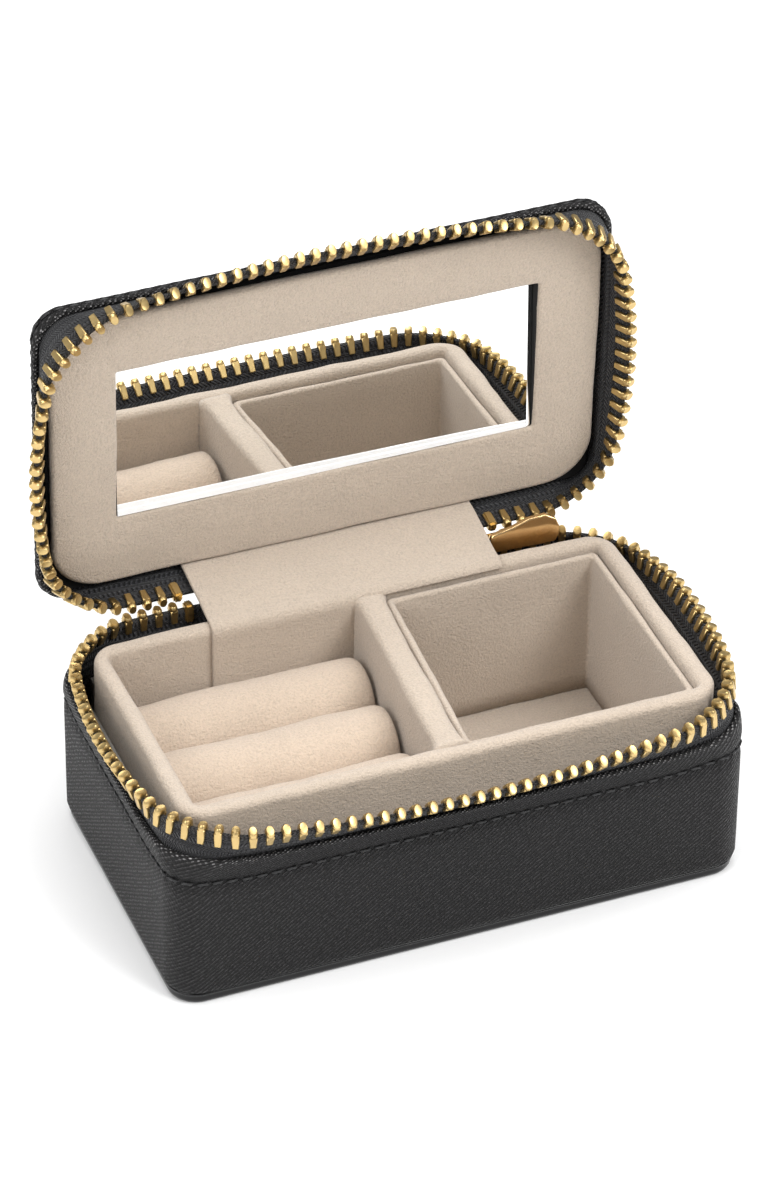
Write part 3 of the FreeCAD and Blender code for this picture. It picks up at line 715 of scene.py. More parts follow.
def build_lid_cover():
    s = shell()
    hinge_z = s.base_edge + s.hinge_rise
    low = hinge_z + s.lid_edge
    top = hinge_z + s.lid_depth
    t = s.leather
    seam = low + 1.75 * MM
    profile = [(-t, low + 2.4 * MM), (-t, low + 0.4 * MM), (-0.85 * MM, low + 0.08 * MM), (-0.55 * MM, low),
               (-0.2 * MM, low + 0.1 * MM), (0.08 * MM, low + 0.4 * MM), (0.22 * MM, low + 0.8 * MM),
               (0.1 * MM, low + 1.25 * MM), (-0.16 * MM, seam - 0.2 * MM), (-0.26 * MM, seam),
               (-0.16 * MM, seam + 0.2 * MM), (0.0, seam + 0.45 * MM), (-0.02 * MM, top - 1.2 * MM),
               (-0.2 * MM, top - 0.85 * MM), (-0.6 * MM, top - 0.48 * MM), (-1.15 * MM, top - 0.2 * MM),
               (-1.8 * MM, top - 0.05 * MM), (-2.5 * MM, top)]
    rings = puckered_wall(profile, seam, lid=True)
    steps = loop_steps(0.6 * MM)
    for k in range(1, 13):
        f = k / 12
        half_x = s.length / 2 - 2.5 * MM - f * 26.2 * MM
        half_y = s.width / 2 - 2.5 * MM - f * 26.2 * MM
        r = (s.corner - 2.5 * MM) * (1 - f * 0.95)
        rings.append([Vector((*loop_point(u, half_x, half_y, half_y, r), top)) for u in steps])
    bm = loft(rings, cap_end=True)
    inner = [e for e in bm.edges if e.is_boundary]
    bmesh.ops.contextual_create(bm, geom=inner)
    bmesh.ops.recalc_face_normals(bm, faces=bm.faces)
    remap_flat(bm, 2, (0, 1))
    # Weights for the painted highlight along the lid leather's open edge.
    mark_edge(bm, low + 0.1 * MM, 0.3 * MM, lid=True)
    soften(bm, 0.12 * MM, 50.0, 5.0)
    bm.transform(turned_lid())
    piece = new_piece("lid_cover", bm, leatherette())
    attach(piece, "lid")
    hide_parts("lid_leather_cover")


def build_hinge_panel():
    """Leather strip outside the back that joins base and lid, bent round the hinge."""
    s = shell()
    hi = frame_box("hinge_panel")[1]
    half = hi.x
    y0 = s.width / 2 - s.leather * 0.5
    z0 = s.base_edge - 0.3 * MM
    y1 = s.width / 2 - s.hinge_inset + s.lid_edge + 0.1 * MM
    z1 = s.base_edge + s.hinge_rise - (s.width / 2 - s.leather / 2 - (s.width / 2 - s.hinge_inset))
    count = 26
    bm = bmesh.new()
    layer = bm.loops.layers.uv.new("UVMap")
    columns = 34
    grid = []
    for i in range(count + 1):
        a = math.pi / 2 * i / count
        y = y0 + (y1 - y0) * (1 - math.cos(a))
        z = z0 + (z1 - z0) * math.sin(a)
        row = []
        for j in range(columns + 1):
            x = -half + 2 * half * j / columns
            wrinkle = 0.10 * MM * math.sin(i * 0.9 + 2.2 * noise.noise(Vector((x * 90, i * 0.2, 3))))
            row.append(bm.verts.new((x, y - wrinkle * math.sin(a), z + wrinkle * math.cos(a))))
        grid.append(row)
    for i in range(count):
        for j in range(columns):
            face = bm.faces.new((grid[i][j], grid[i][j + 1], grid[i + 1][j + 1], grid[i + 1][j]))
            for corner, (a, b) in zip(face.loops, ((j, i), (j + 1, i), (j + 1, i + 1), (j, i + 1))):
                corner[layer].uv = (2 * half * a / columns, 0.45 * MM * b)
    bmesh.ops.recalc_face_normals(bm, faces=bm.faces)
    piece = new_piece("hinge_panel_leather", bm, leatherette())
    thicken(piece, 0.8 * MM)
    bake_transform(piece)
    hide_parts("hinge_panel")


def thicken(piece, thickness):
    """Give a sheet its thickness, centred, with softly rounded cut edges."""
    solid = piece.modifiers.new("Thickness", "SOLIDIFY")
    solid.thickness = thickness
    solid.offset = 0.0
    round_off = piece.modifiers.new("Cut edges", "BEVEL")
    round_off.width = thickness * 0.3
    round_off.segments = 2
    round_off.angle_limit = math.radians(50)
    freeze(piece)


def freeze(piece):
    """Replace a piece's mesh by its evaluated result and drop the modifiers."""
    bpy.context.view_layer.update()
    result = bpy.data.meshes.new_from_object(piece.evaluated_get(bpy.context.evaluated_depsgraph_get()))
    piece.modifiers.clear()
    piece.data = result


# ---------------------------------------------------------------- zip

def sewn_point(u):
    s = shell()
    inset = s.leather + zip_sizes().tape / 2 + 0.08 * MM
    return loop_point(u, s.length / 2 - inset, s.width / 2 - inset, s.width / 2 - inset,
                      s.corner - inset)


def row_point(u):
    """Middle of the tape's toothed edge in plan, and how far it dips from the hinge line."""
    s = shell()
    half_x = s.length / 2 - 3.0 * MM
    front_y = s.width / 2 + 0.5 * MM
    hinge_y = s.width / 2 - s.hinge_inset
    x, y = loop_point(u, half_x, front_y, hinge_y, 11.0 * MM)
    side = max(1 - (y / front_y) ** 2, 0)
    bulge_x = 4.8 * MM * (x / half_x) * side
    front = (1 - (x / half_x) ** 2) if y < 0 else 0.0
    bulge_y = 4.0 * MM * (y / front_y) * front
    slider_x = frame_box("slider_body")[0][0]
    mouth = smooth_step((x - slider_x + 2 * MM) / (6 * MM)) * smooth_step((y - hinge_y + 24 * MM) / (16 * MM))
    dip = 1.4 * MM * front * max(-y / front_y, 0) ** 2
    dip += 0.5 * MM * side * abs(x / half_x)
    return x + bulge_x, y + bulge_y, dip, 1.6 * MM * mouth


def tape_edge(u, lid):
    s = shell()
    x, y, dip, mouth = row_point(u)
    drop = (0.5 * MM if lid else 0.35 * MM + mouth) + zip_sizes().head + dip
    hinge_z = s.base_edge + s.hinge_rise
    return Vector((x, y, hinge_z + drop if lid else hinge_z - drop))


def tape_root(u, lid):
    s = shell()
    x, y = sewn_point(u)
    return Vector((x, y, s.base_edge + s.hinge_rise + s.lid_edge if lid else s.base_edge))


def tape_lean(u, z, lid):
    """How far the tape, and the leather sewn to it, has moved sideways at height z."""
    tip = tape_edge(u, lid)
    root = tape_root(u, lid)
    start = root.z + (2.5 if lid else -2.5) * MM
    h = min(max((z - start) / (tip.z - start), 0.0), 1.0)
    return Vector((tip.x - root.x, tip.y - root.y, 0)) * h ** 1.6


def row_stations(shift):
    fine = [9 * k / 1800 for k in range(1801)]
    spots = [row_point(u) for u in fine]
    travelled = [0.0]
    for (xa, ya, *_), (xb, yb, *_) in zip(spots[:-1], spots[1:]):
        travelled.append(travelled[-1] + math.hypot(xb - xa, yb - ya))
    total = travelled[-1]
    count = int(round(total / zip_sizes().pitch / 2)) * 2
    end_x = frame_box("slider_body")[0][0] + 2.2 * MM
    stations = []
    k = 0
    for n in range(count):
        target = (n + shift) * total / count
        while travelled[k + 1] < target:
            k += 1
        u = fine[k] + (target - travelled[k]) / (travelled[k + 1] - travelled[k]) * 0.005
        x, y, *_ = row_point(u)
        if abs(x) > end_x or y < 0:
            stations.append(u)
    return stations


def station_frame(u, lid):
    tip = tape_edge(u, lid)
    along = tape_edge(min(u + 0.01, 9), lid) - tape_edge(max(u - 0.01, 0), lid)
    along.z = 0.0
    along.normalize()
    root = tape_root(u, lid)
    rise = tip.z - root.z + (-2.5 if lid else 2.5) * MM
    side = 1.6 / abs(rise)
    out = Vector(((tip.x - root.x) * side, (tip.y - root.y) * side, -1 if lid else 1)).normalized()
    side = along.cross(out).normalized()
    return tip, along, side.cross(along).normalized(), side


def build_tape(lid):
    """Woven tape from inside the leather up to the toothed edge, with a corded edge."""
    steps = loop_steps(0.8 * MM)
    half = zip_sizes().tape / 2
    sign = -1 if lid else 1
    inner_rings = []
    outer_rings = []
    levels = 16
    for k in range(levels + 1):
        f = k / levels
        inner = []
        outer = []
        for u in steps:
            tip = tape_edge(u, lid)
            root = tape_root(u, lid)
            low = root.z - sign * (2.4 if lid else 4.5) * MM
            z = low + (tip.z - low) * f
            ahead = tape_root(min(u + 0.02, 9), lid) - tape_root(max(u - 0.02, 0), lid)
            normal = Vector((-ahead.y, ahead.x, 0)).normalized()
            free = smooth_step((f - 0.45) / 0.3) * smooth_step((1.0 - f) / 0.2)
            ripple = 0.22 * MM * noise.noise(Vector((root.x * 70, root.y * 70, 7 * sign + f))) * free
            cord = 0.16 * MM if k >= levels - 1 else 0.0
            spot = Vector((root.x, root.y, z)) + tape_lean(u, z, lid) + normal * ripple
            outer.append(spot + normal * (half + cord))
            inner.append(spot - normal * (half + cord))
        outer_rings.append(outer)
        inner_rings.append(inner)
    bm = loft(outer_rings + inner_rings[::-1], closed_profile=True)
    name = "lid_tape" if lid else "base_tape"
    if lid:
        bm.transform(turned_lid())
    piece = new_piece(name, bm, woven_tape())
    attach(piece, "lid" if lid else "base")
    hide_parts("lid_zip_tape" if lid else "base_zip_tape")


def tooth_mesh():
    """One zip tooth at the origin: X along the row, Z away from the tape."""
    z = zip_sizes()
    w = z.tooth_width / 2
    bm = bmesh.new()
    for side in (-1, 1):
        leg = bmesh.ops.create_cube(bm, size=1.0)["verts"]
        for v in leg:
            low = v.co.z < 0
            y_in = z.tape / 2 + 0.08 * MM
            y_out = (0.86 if low else 1.0) * MM
            v.co = Vector((v.co.x * 2 * w * (0.74 if low else 0.86),
                           side * (y_in if v.co.y * side < 0 else y_out), -z.leg if low else 0.45 * MM))
    bmesh.ops.bevel(bm, geom=list(bm.edges), offset=0.13 * MM, segments=1, affect="EDGES")
    head = bmesh.ops.create_uvsphere(bm, u_segments=12, v_segments=8, radius=1.0)["verts"]
    for v in head:
        x, y, top = v.co
        square = 1.0 / max(abs(x), abs(y), 0.7071) ** 0.35
        dimple = 0.30 * MM * smooth_step((top - 0.72) / 0.28)
        v.co = Vector((x * w * square, y * 1.08 * MM * square, 0.52 * z.head + top * 0.66 * z.head - dimple))
    mesh = bpy.data.meshes.new("zip_tooth")
    bmesh.ops.recalc_face_normals(bm, faces=bm.faces)
    bm.to_mesh(mesh)
    bm.free()
    mesh.polygons.foreach_set("use_smooth", [len(p.vertices) < 5 and p.area < 1.0 for p in mesh.polygons])
    mesh.set_sharp_from_angle(angle=math.radians(38))
    return mesh


def instance_tree(name, labels):
    """Nodes that set one shape on every point, turned to the point's own directions."""
    tree = bpy.data.node_groups.new(name, "GeometryNodeTree")
    face = tree.interface
    face.new_socket(name="Geometry", in_out="INPUT", socket_type="NodeSocketGeometry")
    sockets = {"Shape": face.new_socket(name="Shape", in_out="INPUT", socket_type="NodeSocketObject"),
               "Material": face.new_socket(name="Material", in_out="INPUT",
                                           socket_type="NodeSocketMaterial")}
    for label in labels:
        sockets[label] = face.new_socket(name=label, in_out="INPUT", socket_type="NodeSocketFloat")
        sockets[label].default_value = 1.0
    face.new_socket(name="Geometry", in_out="OUTPUT", socket_type="NodeSocketGeometry")
    given = tree.nodes.new("NodeGroupInput")
    out = tree.nodes.new("NodeGroupOutput")
    shape = add_node(tree, "GeometryNodeObjectInfo", {"Object": given.outputs["Shape"]})
    along = add_node(tree, "GeometryNodeInputNamedAttribute", {"Name": "along"},
                     data_type="FLOAT_VECTOR").outputs[0]
    up = add_node(tree, "GeometryNodeInputNamedAttribute", {"Name": "up"},
                  data_type="FLOAT_VECTOR").outputs[0]
    first = add_node(tree, "FunctionNodeAlignRotationToVector", {"Vector": up}, axis="Z")
    second = add_node(tree, "FunctionNodeAlignRotationToVector",
                      {"Rotation": first.outputs[0], "Vector": along}, axis="X", pivot_axis="Z")
    scale = add_node(tree, "ShaderNodeCombineXYZ")
    for index, label in enumerate(labels):
        tree.links.new(given.outputs[label], scale.inputs[index])
    placed = add_node(tree, "GeometryNodeInstanceOnPoints",
                      {"Points": given.outputs[0], "Instance": shape.outputs["Geometry"],
                       "Rotation": second.outputs[0], "Scale": scale.outputs[0]})
    real = add_node(tree, "GeometryNodeRealizeInstances", {"Geometry": placed.outputs[0]})
    painted = add_node(tree, "GeometryNodeSetMaterial", {"Geometry": real.outputs[0],
                                                         "Material": given.outputs["Material"]})
    tree.links.new(painted.outputs[0], out.inputs[0])
    return tree, {label: socket.identifier for label, socket in sockets.items()}


def set_on_points(name, spots, shape_mesh, material, labels, values):
    """spots are (place, along, up); returns a plain mesh piece with the shape on each."""
    mesh = bpy.data.meshes.new(name + "_points")
    mesh.from_pydata([s[0] for s in spots], [], [])
    for label, index in (("along", 1), ("up", 2)):
        attribute = mesh.attributes.new(label, "FLOAT_VECTOR", "POINT")
        attribute.data.foreach_set("vector", [c for s in spots for c in s[index]])
    carrier = bpy.data.objects.new(name, mesh)
    bpy.context.scene.collection.objects.link(carrier)
    shape = bpy.data.objects.new(name + "_shape", shape_mesh)
    bpy.context.scene.collection.objects.link(shape)
    tree, ids = instance_tree(name + " Nodes", labels)
    modifier = carrier.modifiers.new("Set on points", "NODES")
    modifier.node_group = tree
    modifier[ids["Shape"]] = shape
    modifier[ids["Material"]] = material
    for label, value in zip(labels, values):
        modifier[ids[label]] = value
    freeze(carrier)
    bpy.data.objects.remove(shape)
    carrier.data.name = name
    return carrier


def build_teeth(lid):
    turn = turned_lid() if lid else Matrix.Identity(4)
    spots = []
    for u in row_stations(0.5 if lid else 0.0):
        tip, along, up, _ = station_frame(u, lid)
        spots.append((turn @ tip, (turn.to_3x3() @ along), (turn.to_3x3() @ up)))
    name = "lid_teeth" if lid else "base_teeth"
    piece = set_on_points(name, spots, tooth_mesh(), zip_brass(),
                          ("Tooth width", "Tooth thickness", "Tooth height"), (1.0, 1.0, 1.0))
    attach(piece, "lid" if lid else "base")
    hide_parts("lid_zip_teeth" if lid else "base_zip_teeth")


def stop_mesh():
    """One end stop: a squared clamp with rounded edges."""
    bm = bmesh.new()
    bmesh.ops.create_cube(bm, size=1.0)
    for v in bm.verts:
        v.co = Vector((v.co.x * 1.5 * MM, v.co.y * 1.9 * MM, -0.7 * MM + v.co.z * 3.4 * MM))
    bmesh.ops.bevel(bm, geom=list(bm.edges), offset=0.3 * MM, segments=2, affect="EDGES")
    mesh = bpy.data.meshes.new("zip_stop")
    bm.to_mesh(mesh)
    bm.free()
    return mesh


def build_stops(lid):
    turn = turned_lid() if lid else Matrix.Identity(4)
    stations = row_stations(0.5 if lid else 0.0)
    step = stations[1] - stations[0]
    spots = []
    for u in (stations[0] - step, stations[-1] + step):
        tip, along, up, _ = station_frame(u, lid)
        spots.append((turn @ tip, (turn.to_3x3() @ along), (turn.to_3x3() @ up)))
    name = "lid_end_stops" if lid else "base_end_stops"
    piece = set_on_points(name, spots, stop_mesh(), zip_brass(),
                          ("Stop width", "Stop thickness", "Stop height"), (1.0, 1.0, 1.0))
    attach(piece, "lid" if lid else "base")
    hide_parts("lid_zip_stops" if lid else "base_zip_stops")


def stitch_mesh():
    """One stitch of two-ply thread, along X, dipping into the leather at both ends."""
    z = zip_sizes()
    bm = bmesh.new()
    rings = []
    count = 9
    for i in range(count):
        f = i / (count - 1)
        x = (f - 0.5) * z.stitch_length
        r = z.stitch_thread / 2 * math.sqrt(max(1 - (2 * f - 1) ** 4, 0.02))
        lift = 0.12 * MM * math.sin(math.pi * f)
        ring = []
        for k in range(8):
            a = 2 * math.pi * k / 8
            ply = 1 + 0.22 * math.cos(2 * (a - f * 5.0))
            ring.append(bm.verts.new((x, math.cos(a) * r * ply, lift + math.sin(a) * r * ply * 0.8)))
        rings.append(ring)
    for a, b in zip(rings[:-1], rings[1:]):
        for k in range(8):
            bm.faces.new((a[k], a[(k + 1) % 8], b[(k + 1) % 8], b[k]))
    bm.faces.new(rings[0][::-1])
    bm.faces.new(rings[-1])
    bmesh.ops.recalc_face_normals(bm, faces=bm.faces)
    mesh = bpy.data.meshes.new("stitch")
    bm.to_mesh(mesh)
    bm.free()
    mesh.polygons.foreach_set("use_smooth", [True] * len(mesh.polygons))
    return mesh


def build_stitching(lid):
    s = shell()
    hinge_z = s.base_edge + s.hinge_rise
    z = hinge_z + s.lid_edge + 1.75 * MM if lid else s.base_edge - 3.5 * MM
    fine = wall_ring(loop_steps(0.2 * MM), -0.22 * MM, z)
    total = sum((b - a).length for a, b in zip(fine, fine[1:] + fine[:1]))
    count = round(total / zip_sizes().stitch_pitch)
    turn = turned_lid() if lid else Matrix.Identity(4)
    spots = []
    travelled = 0.0
    target = 0.0
    for a, b in zip(fine, fine[1:] + fine[:1]):
        step = (b - a).length
        while target < travelled + step and len(spots) < count:
            spot = a.lerp(b, (target - travelled) / step)
            if not lid:
                spot.z += edge_climb(spot.x, spot.y)
            along = (b - a).normalized()
            out = Vector((-along.y, along.x, 0))
            spots.append((turn @ spot, turn.to_3x3() @ along, turn.to_3x3() @ out))
            target += total / count
        travelled += step
    name = "lid_stitches" if lid else "base_stitches"
    piece = set_on_points(name, spots, stitch_mesh(), sewing_thread(),
                          ("Stitch length", "Stitch width", "Stitch height"), (1.0, 1.0, 1.0))
    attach(piece, "lid" if lid else "base")
    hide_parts("lid_edge_stitching" if lid else "base_edge_stitching")


# ---------------------------------------------------------------- lining

def tray_plan():
    lo, hi = frame_box("tray_floor")
    return lo.x, hi.x, lo.y, hi.y, hi.z


def tray_ring(steps, f, z):
    """Ring between the cavity's edge (f = 0) and the tray's outer face (f = 1)."""
    x0, x1, y0, y1, _ = tray_plan()
    t = lining().wall
    centre_y = (y0 + y1) / 2
    ring = []
    for u in steps:
        ix, iy = loop_point(u, x1, (y1 - y0) / 2, (y1 - y0) / 2, 1.0 * MM)
        ox, oy = loop_point(u, x1 + t, (y1 - y0) / 2 + t, (y1 - y0) / 2 + t, 5.0 * MM)
        ring.append(Vector((ix + (ox - ix) * f, centre_y + iy + (oy - iy) * f, z)))
    return ring


def build_tray_rim():
    g = lining()
    steps = loop_steps(0.9 * MM)
    r = g.rim_round
    fr = r / g.wall
    low = 3.7 * MM
    path = []
    for k in range(10):
        path.append((1.0, low + (g.rim - r - low) * (k / 9) ** 0.6))
    for k in range(1, 7):
        a = math.radians(90 * k / 6)
        path.append((1 - fr + fr * math.cos(a), g.rim - r + r * math.sin(a)))
    for k in range(0, 6):
        a = math.radians(90 - 90 * k / 6)
        path.append((fr - fr * math.cos(a), g.rim - r + r * math.sin(a)))
    for k in range(13):
        path.append((0.0, g.rim - r - (g.rim - r - low) * k / 12))
    bm = loft([tray_ring(steps, f, z) for f, z in path], closed_profile=True)
    soften(bm, g.softness, 220.0, 1.0)
    soften(bm, g.softness * 1.6, 60.0, 9.0)
    piece = new_piece("tray_rim", bm, lining_suede())
    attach(piece, "base")
    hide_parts("tray_front_wall", "tray_back_wall", "tray_left_wall", "tray_right_wall")


def divider_line(y):
    x0, x1, y0, y1, _ = tray_plan()
    return -0.1 * MM + (y - y0) / (y1 - y0) * 2.4 * MM


def build_divider():
    g = lining()
    x0, x1, y0, y1, floor = tray_plan()
    half = 2.4 * MM
    top = g.rim - 0.05 * MM
    sections = []
    count = 46
    for i in range(count + 1):
        f = i / count
        y = y0 - 0.25 * MM + (y1 - y0 + 0.5 * MM) * f
        near = min(y - y0, y1 - y) / MM
        flare = 0.9 * MM * math.exp(-max(near, 0) / 1.0)
        sink = 0.25 * MM * smooth_step(min(near, 8) / 8)
        mid = divider_line(y)
        r = 1.35 * MM
        ring = []
        for k in range(12):
            ring.append((mid - half - flare, floor + (top - r - floor) * k / 12))
        for k in range(9):
            a = math.radians(180 - 90 * k / 8)
            ring.append((mid - half - flare + r + r * math.cos(a), top - sink - r + r * math.sin(a)))
        for k in range(9):
            a = math.radians(90 - 90 * k / 8)
            ring.append((mid + half + flare - r + r * math.cos(a), top - sink - r + r * math.sin(a)))
        for k in range(12):
            ring.append((mid + half + flare, top - r - (top - r - floor) * (k + 1) / 12))
        sections.append([Vector((x, y, z)) for x, z in ring])
    bm = loft(sections, cap_start=True, cap_end=True)
    soften(bm, g.softness, 220.0, 3.0)
    soften(bm, g.softness * 1.6, 60.0, 4.0)
    piece = new_piece("tray_divider_wall", bm, lining_suede())
    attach(piece, "base")
    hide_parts("tray_divider")


def polygon_ring(corners, radius, z, per_side=14, per_corner=5):
    """Rounded convex polygon as a ring; corners run clockwise seen from above."""
    ring = []
    count = len(corners)
    for i in range(count):
        here = Vector(corners[i])
        before = Vector(corners[i - 1])
        after = Vector(corners[(i + 1) % count])
        a = (before - here).normalized()
        b = (after - here).normalized()
        half = math.acos(max(-1, min(1, a.dot(b)))) / 2
        reach = radius / math.tan(half)
        centre = here + (a + b).normalized() * (radius / math.sin(half))
        start = here + a * reach - centre
        end = here + b * reach - centre
        for k in range(per_corner + 1):
            f = k / per_corner
            mid = (start * (1 - f) + end * f).normalized() * radius
            ring.append(centre + mid)
        nxt = Vector(corners[(i + 1) % count])
        after2 = Vector(corners[(i + 2) % count])
        c = (here - nxt).normalized()
        d = (after2 - nxt).normalized()
        half2 = math.acos(max(-1, min(1, c.dot(d)))) / 2
        far = nxt + c * (radius / math.tan(half2))
        near = here + b * reach
        for k in range(1, per_side):
            ring.append(near.lerp(far, k / per_side))
    return [Vector((p.x, p.y, z)) for p in ring]


def liner_corners(inset):
    """Plan of the liner, skewed on the divider's side, moved inward by inset."""
    x0, x1, y0, y1, _ = tray_plan()
    gap = 0.3 * MM
    ya = y0 + gap + inset
    yb = y1 - gap - inset
    side = 2.4 * MM + gap + inset
    return [(divider_line(ya) + side, ya), (divider_line(yb) + side, yb),
            (x1 - gap - inset, yb), (x1 - gap - inset, ya)]


def build_liner():
    g = lining()
    floor = frame_box("liner_floor_pad")[1][2]
    top = frame_box("liner_right_wall")[1][2]
    t = g.liner
    path = []
    for k in range(9):
        path.append((0.0, floor + (top - t / 2 - floor) * k / 8))
    for k in range(1, 6):
        a = math.radians(180 * k / 6)
        path.append((t / 2 - t / 2 * math.cos(a), top - t / 2 + t / 2 * math.sin(a)))
    for k in range(9):
        path.append((t, top - t / 2 - (top - t / 2 - floor) * k / 8))
    rings = []
    for inset, z in path:
        rings.append(polygon_ring(liner_corners(inset), 0.6 * MM + (t - inset) * 0.4, z, 24))
    bm = loft(rings, closed_profile=True)
    soften(bm, g.softness * 0.8, 240.0, 6.0)
    soften(bm, g.softness * 1.5, 55.0, 7.0)
    walls = new_piece("compartment_liner", bm, lining_suede())
    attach(walls, "base")
    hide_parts("liner_left_wall", "liner_front_wall", "liner_back_wall", "liner_right_wall")
    low = frame_box("liner_floor_pad")[0][2]
    rings = []
    rings.append(polygon_ring(liner_corners(0.1 * MM), 0.8 * MM, low, 24))
    for k in range(12):
        inset = 0.1 * MM + 18.5 * MM * (k / 11)
        lift = 0.25 * MM * smooth_step(k / 4)
        rings.append(polygon_ring(liner_corners(inset), 0.8 * MM, floor + lift - 0.2 * MM, 24))
    bm = loft(rings, cap_start=True, cap_end=True)
    soften(bm, g.softness, 200.0, 8.0)
    pad = new_piece("compartment_pad", bm, lining_suede())
    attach(pad, "base")
    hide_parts("liner_floor_pad")


def roll_ring(x, lo, hi, shrink):
    """D-shaped section of a ring roll at x: straight sides, round top."""
    cy = (lo.y + hi.y) / 2
    half = (hi.y - lo.y) / 2 - shrink
    top = hi.z - shrink
    z0 = lo.z + shrink * 0.5
    ring = []
    for k in range(7):
        ring.append(Vector((x, cy + half, z0 + (top - half - z0) * k / 7)))
    for k in range(25):
        a = math.radians(180 * k / 24)
        ring.append(Vector((x, cy + half * math.cos(a), top - half + half * math.sin(a))))
    for k in range(7):
        ring.append(Vector((x, cy - half, top - half - (top - half - z0) * (k + 1) / 7)))
    for k in range(1, 9):
        ring.append(Vector((x, cy - half + 2 * half * k / 9, z0)))
    return ring


CLOTH_GROW = 10.0
CLOTH_VOXEL = 0.85 * MM
CLOTH_FOOT = 1.2 * MM
CLOTH_PRESSURE = 4.0
CLOTH_FRAMES = 20


def plump(piece, cap, low, high):
    """Pressure on cloth held along its foot, with every move cut to cap and kept from low to high.

    Nothing holds the sides, so most points reach the cap: this softens the shape given to it.
    """
    piece.data.transform(Matrix.Scale(CLOTH_GROW, 4))
    even = piece.modifiers.new("Even cloth", "REMESH")
    even.mode = "VOXEL"
    even.voxel_size = CLOTH_VOXEL * CLOTH_GROW
    freeze(piece)
    held = piece.vertex_groups.new(name="held")
    foot = (low.z + CLOTH_FOOT) * CLOTH_GROW
    held.add([v.index for v in piece.data.vertices if v.co.z < foot], 1.0, "REPLACE")
    before = [v.co.copy() for v in piece.data.vertices]
    cloth = piece.modifiers.new("Cloth", "CLOTH")
    cloth.settings.quality = 6
    cloth.settings.vertex_group_mass = "held"
    cloth.settings.use_pressure = True
    cloth.settings.uniform_pressure_force = CLOTH_PRESSURE
    cloth.settings.effector_weights.gravity = 0.0
    cloth.settings.tension_stiffness = 20.0
    cloth.settings.compression_stiffness = 20.0
    cloth.settings.bending_stiffness = 2.0
    cloth.collision_settings.use_collision = False
    cloth.point_cache.frame_start = 1
    cloth.point_cache.frame_end = CLOTH_FRAMES
    for step in range(1, CLOTH_FRAMES + 1):
        bpy.context.scene.frame_set(step)
    freeze(piece)
    bpy.context.scene.frame_set(1)
    for vert, start in zip(piece.data.vertices, before):
        move = vert.co - start
        if move.length > cap * CLOTH_GROW:
            move *= cap * CLOTH_GROW / move.length
        spot = (start + move) / CLOTH_GROW
        vert.co = [min(max(spot[k], low[k]), high[k]) for k in range(3)]
    smoother = piece.modifiers.new("Smooth cloth", "SUBSURF")
    smoother.levels = 1
    smoother.render_levels = 1
    freeze(piece)
    piece.data.polygons.foreach_set("use_smooth", [True] * len(piece.data.polygons))


def build_roll(which, seed):
    node = "ring_roll_" + which
    lo, hi = (Vector(c) for c in frame_box(node))
    g = lining()
    rings = []
    end = 1.5 * MM
    xs = []
    for k in range(6):
        a = math.radians(90 * k / 6)
        xs.append((lo.x + end - end * math.cos(a), end - end * math.sin(a)))
    count = 40
    for k in range(count + 1):
        xs.append((lo.x + end + (hi.x - lo.x - 2 * end) * k / count, 0.0))
    for k in range(5, -1, -1):
        a = math.radians(90 * k / 6)
        xs.append((hi.x - end + end * math.cos(a), end - end * math.sin(a)))
    for x, shrink in xs:
        rings.append(roll_ring(x, lo, hi, shrink + 0.05 * MM))
    bm = loft(rings, cap_start=True, cap_end=True)
    soften(bm, g.softness * 1.2, 200.0, seed)
    soften(bm, g.softness * 3.0, 50.0, seed + 2)
    piece = new_piece("roll_" + which, bm, roll_suede())
    plump(piece, 0.3 * MM, lo - Vector((0, 0.12 * MM, 0)), hi + Vector((0, 0.12 * MM, 0.5 * MM)))
    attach(piece, "base")
    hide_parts(node)


def flap_path():
    """Middle line of the hinge flap from under the lid's panel down into the tray, (y, z)."""
    s = shell()
    g = lining()
    x0, x1, y0, y1, _ = tray_plan()
    hinge_y = s.width / 2 - s.hinge_inset
    hinge_z = s.base_edge + s.hinge_rise
    back = y1 + g.wall
    t = g.flap / 2
    rim = g.rim + t + 0.1 * MM
    return [(hinge_y + 7.1 * MM, hinge_z + 2.0 * MM), (hinge_y + 6.1 * MM, hinge_z + 1.95 * MM),
            (hinge_y + 4.6 * MM, hinge_z + 1.75 * MM), (hinge_y + 2.0 * MM, hinge_z + 1.25 * MM),
            (hinge_y - 1.5 * MM, hinge_z + 0.55 * MM), (back + 0.4 * MM, rim + 0.35 * MM),
            (back - 1.2 * MM, rim + 0.12 * MM), (y1 + 0.9 * MM, rim), (y1 + 0.1 * MM, rim - 0.2 * MM),
            (y1 - t - 0.1 * MM, rim - 1.1 * MM), (y1 - t - 0.12 * MM, rim - 3.0 * MM)]


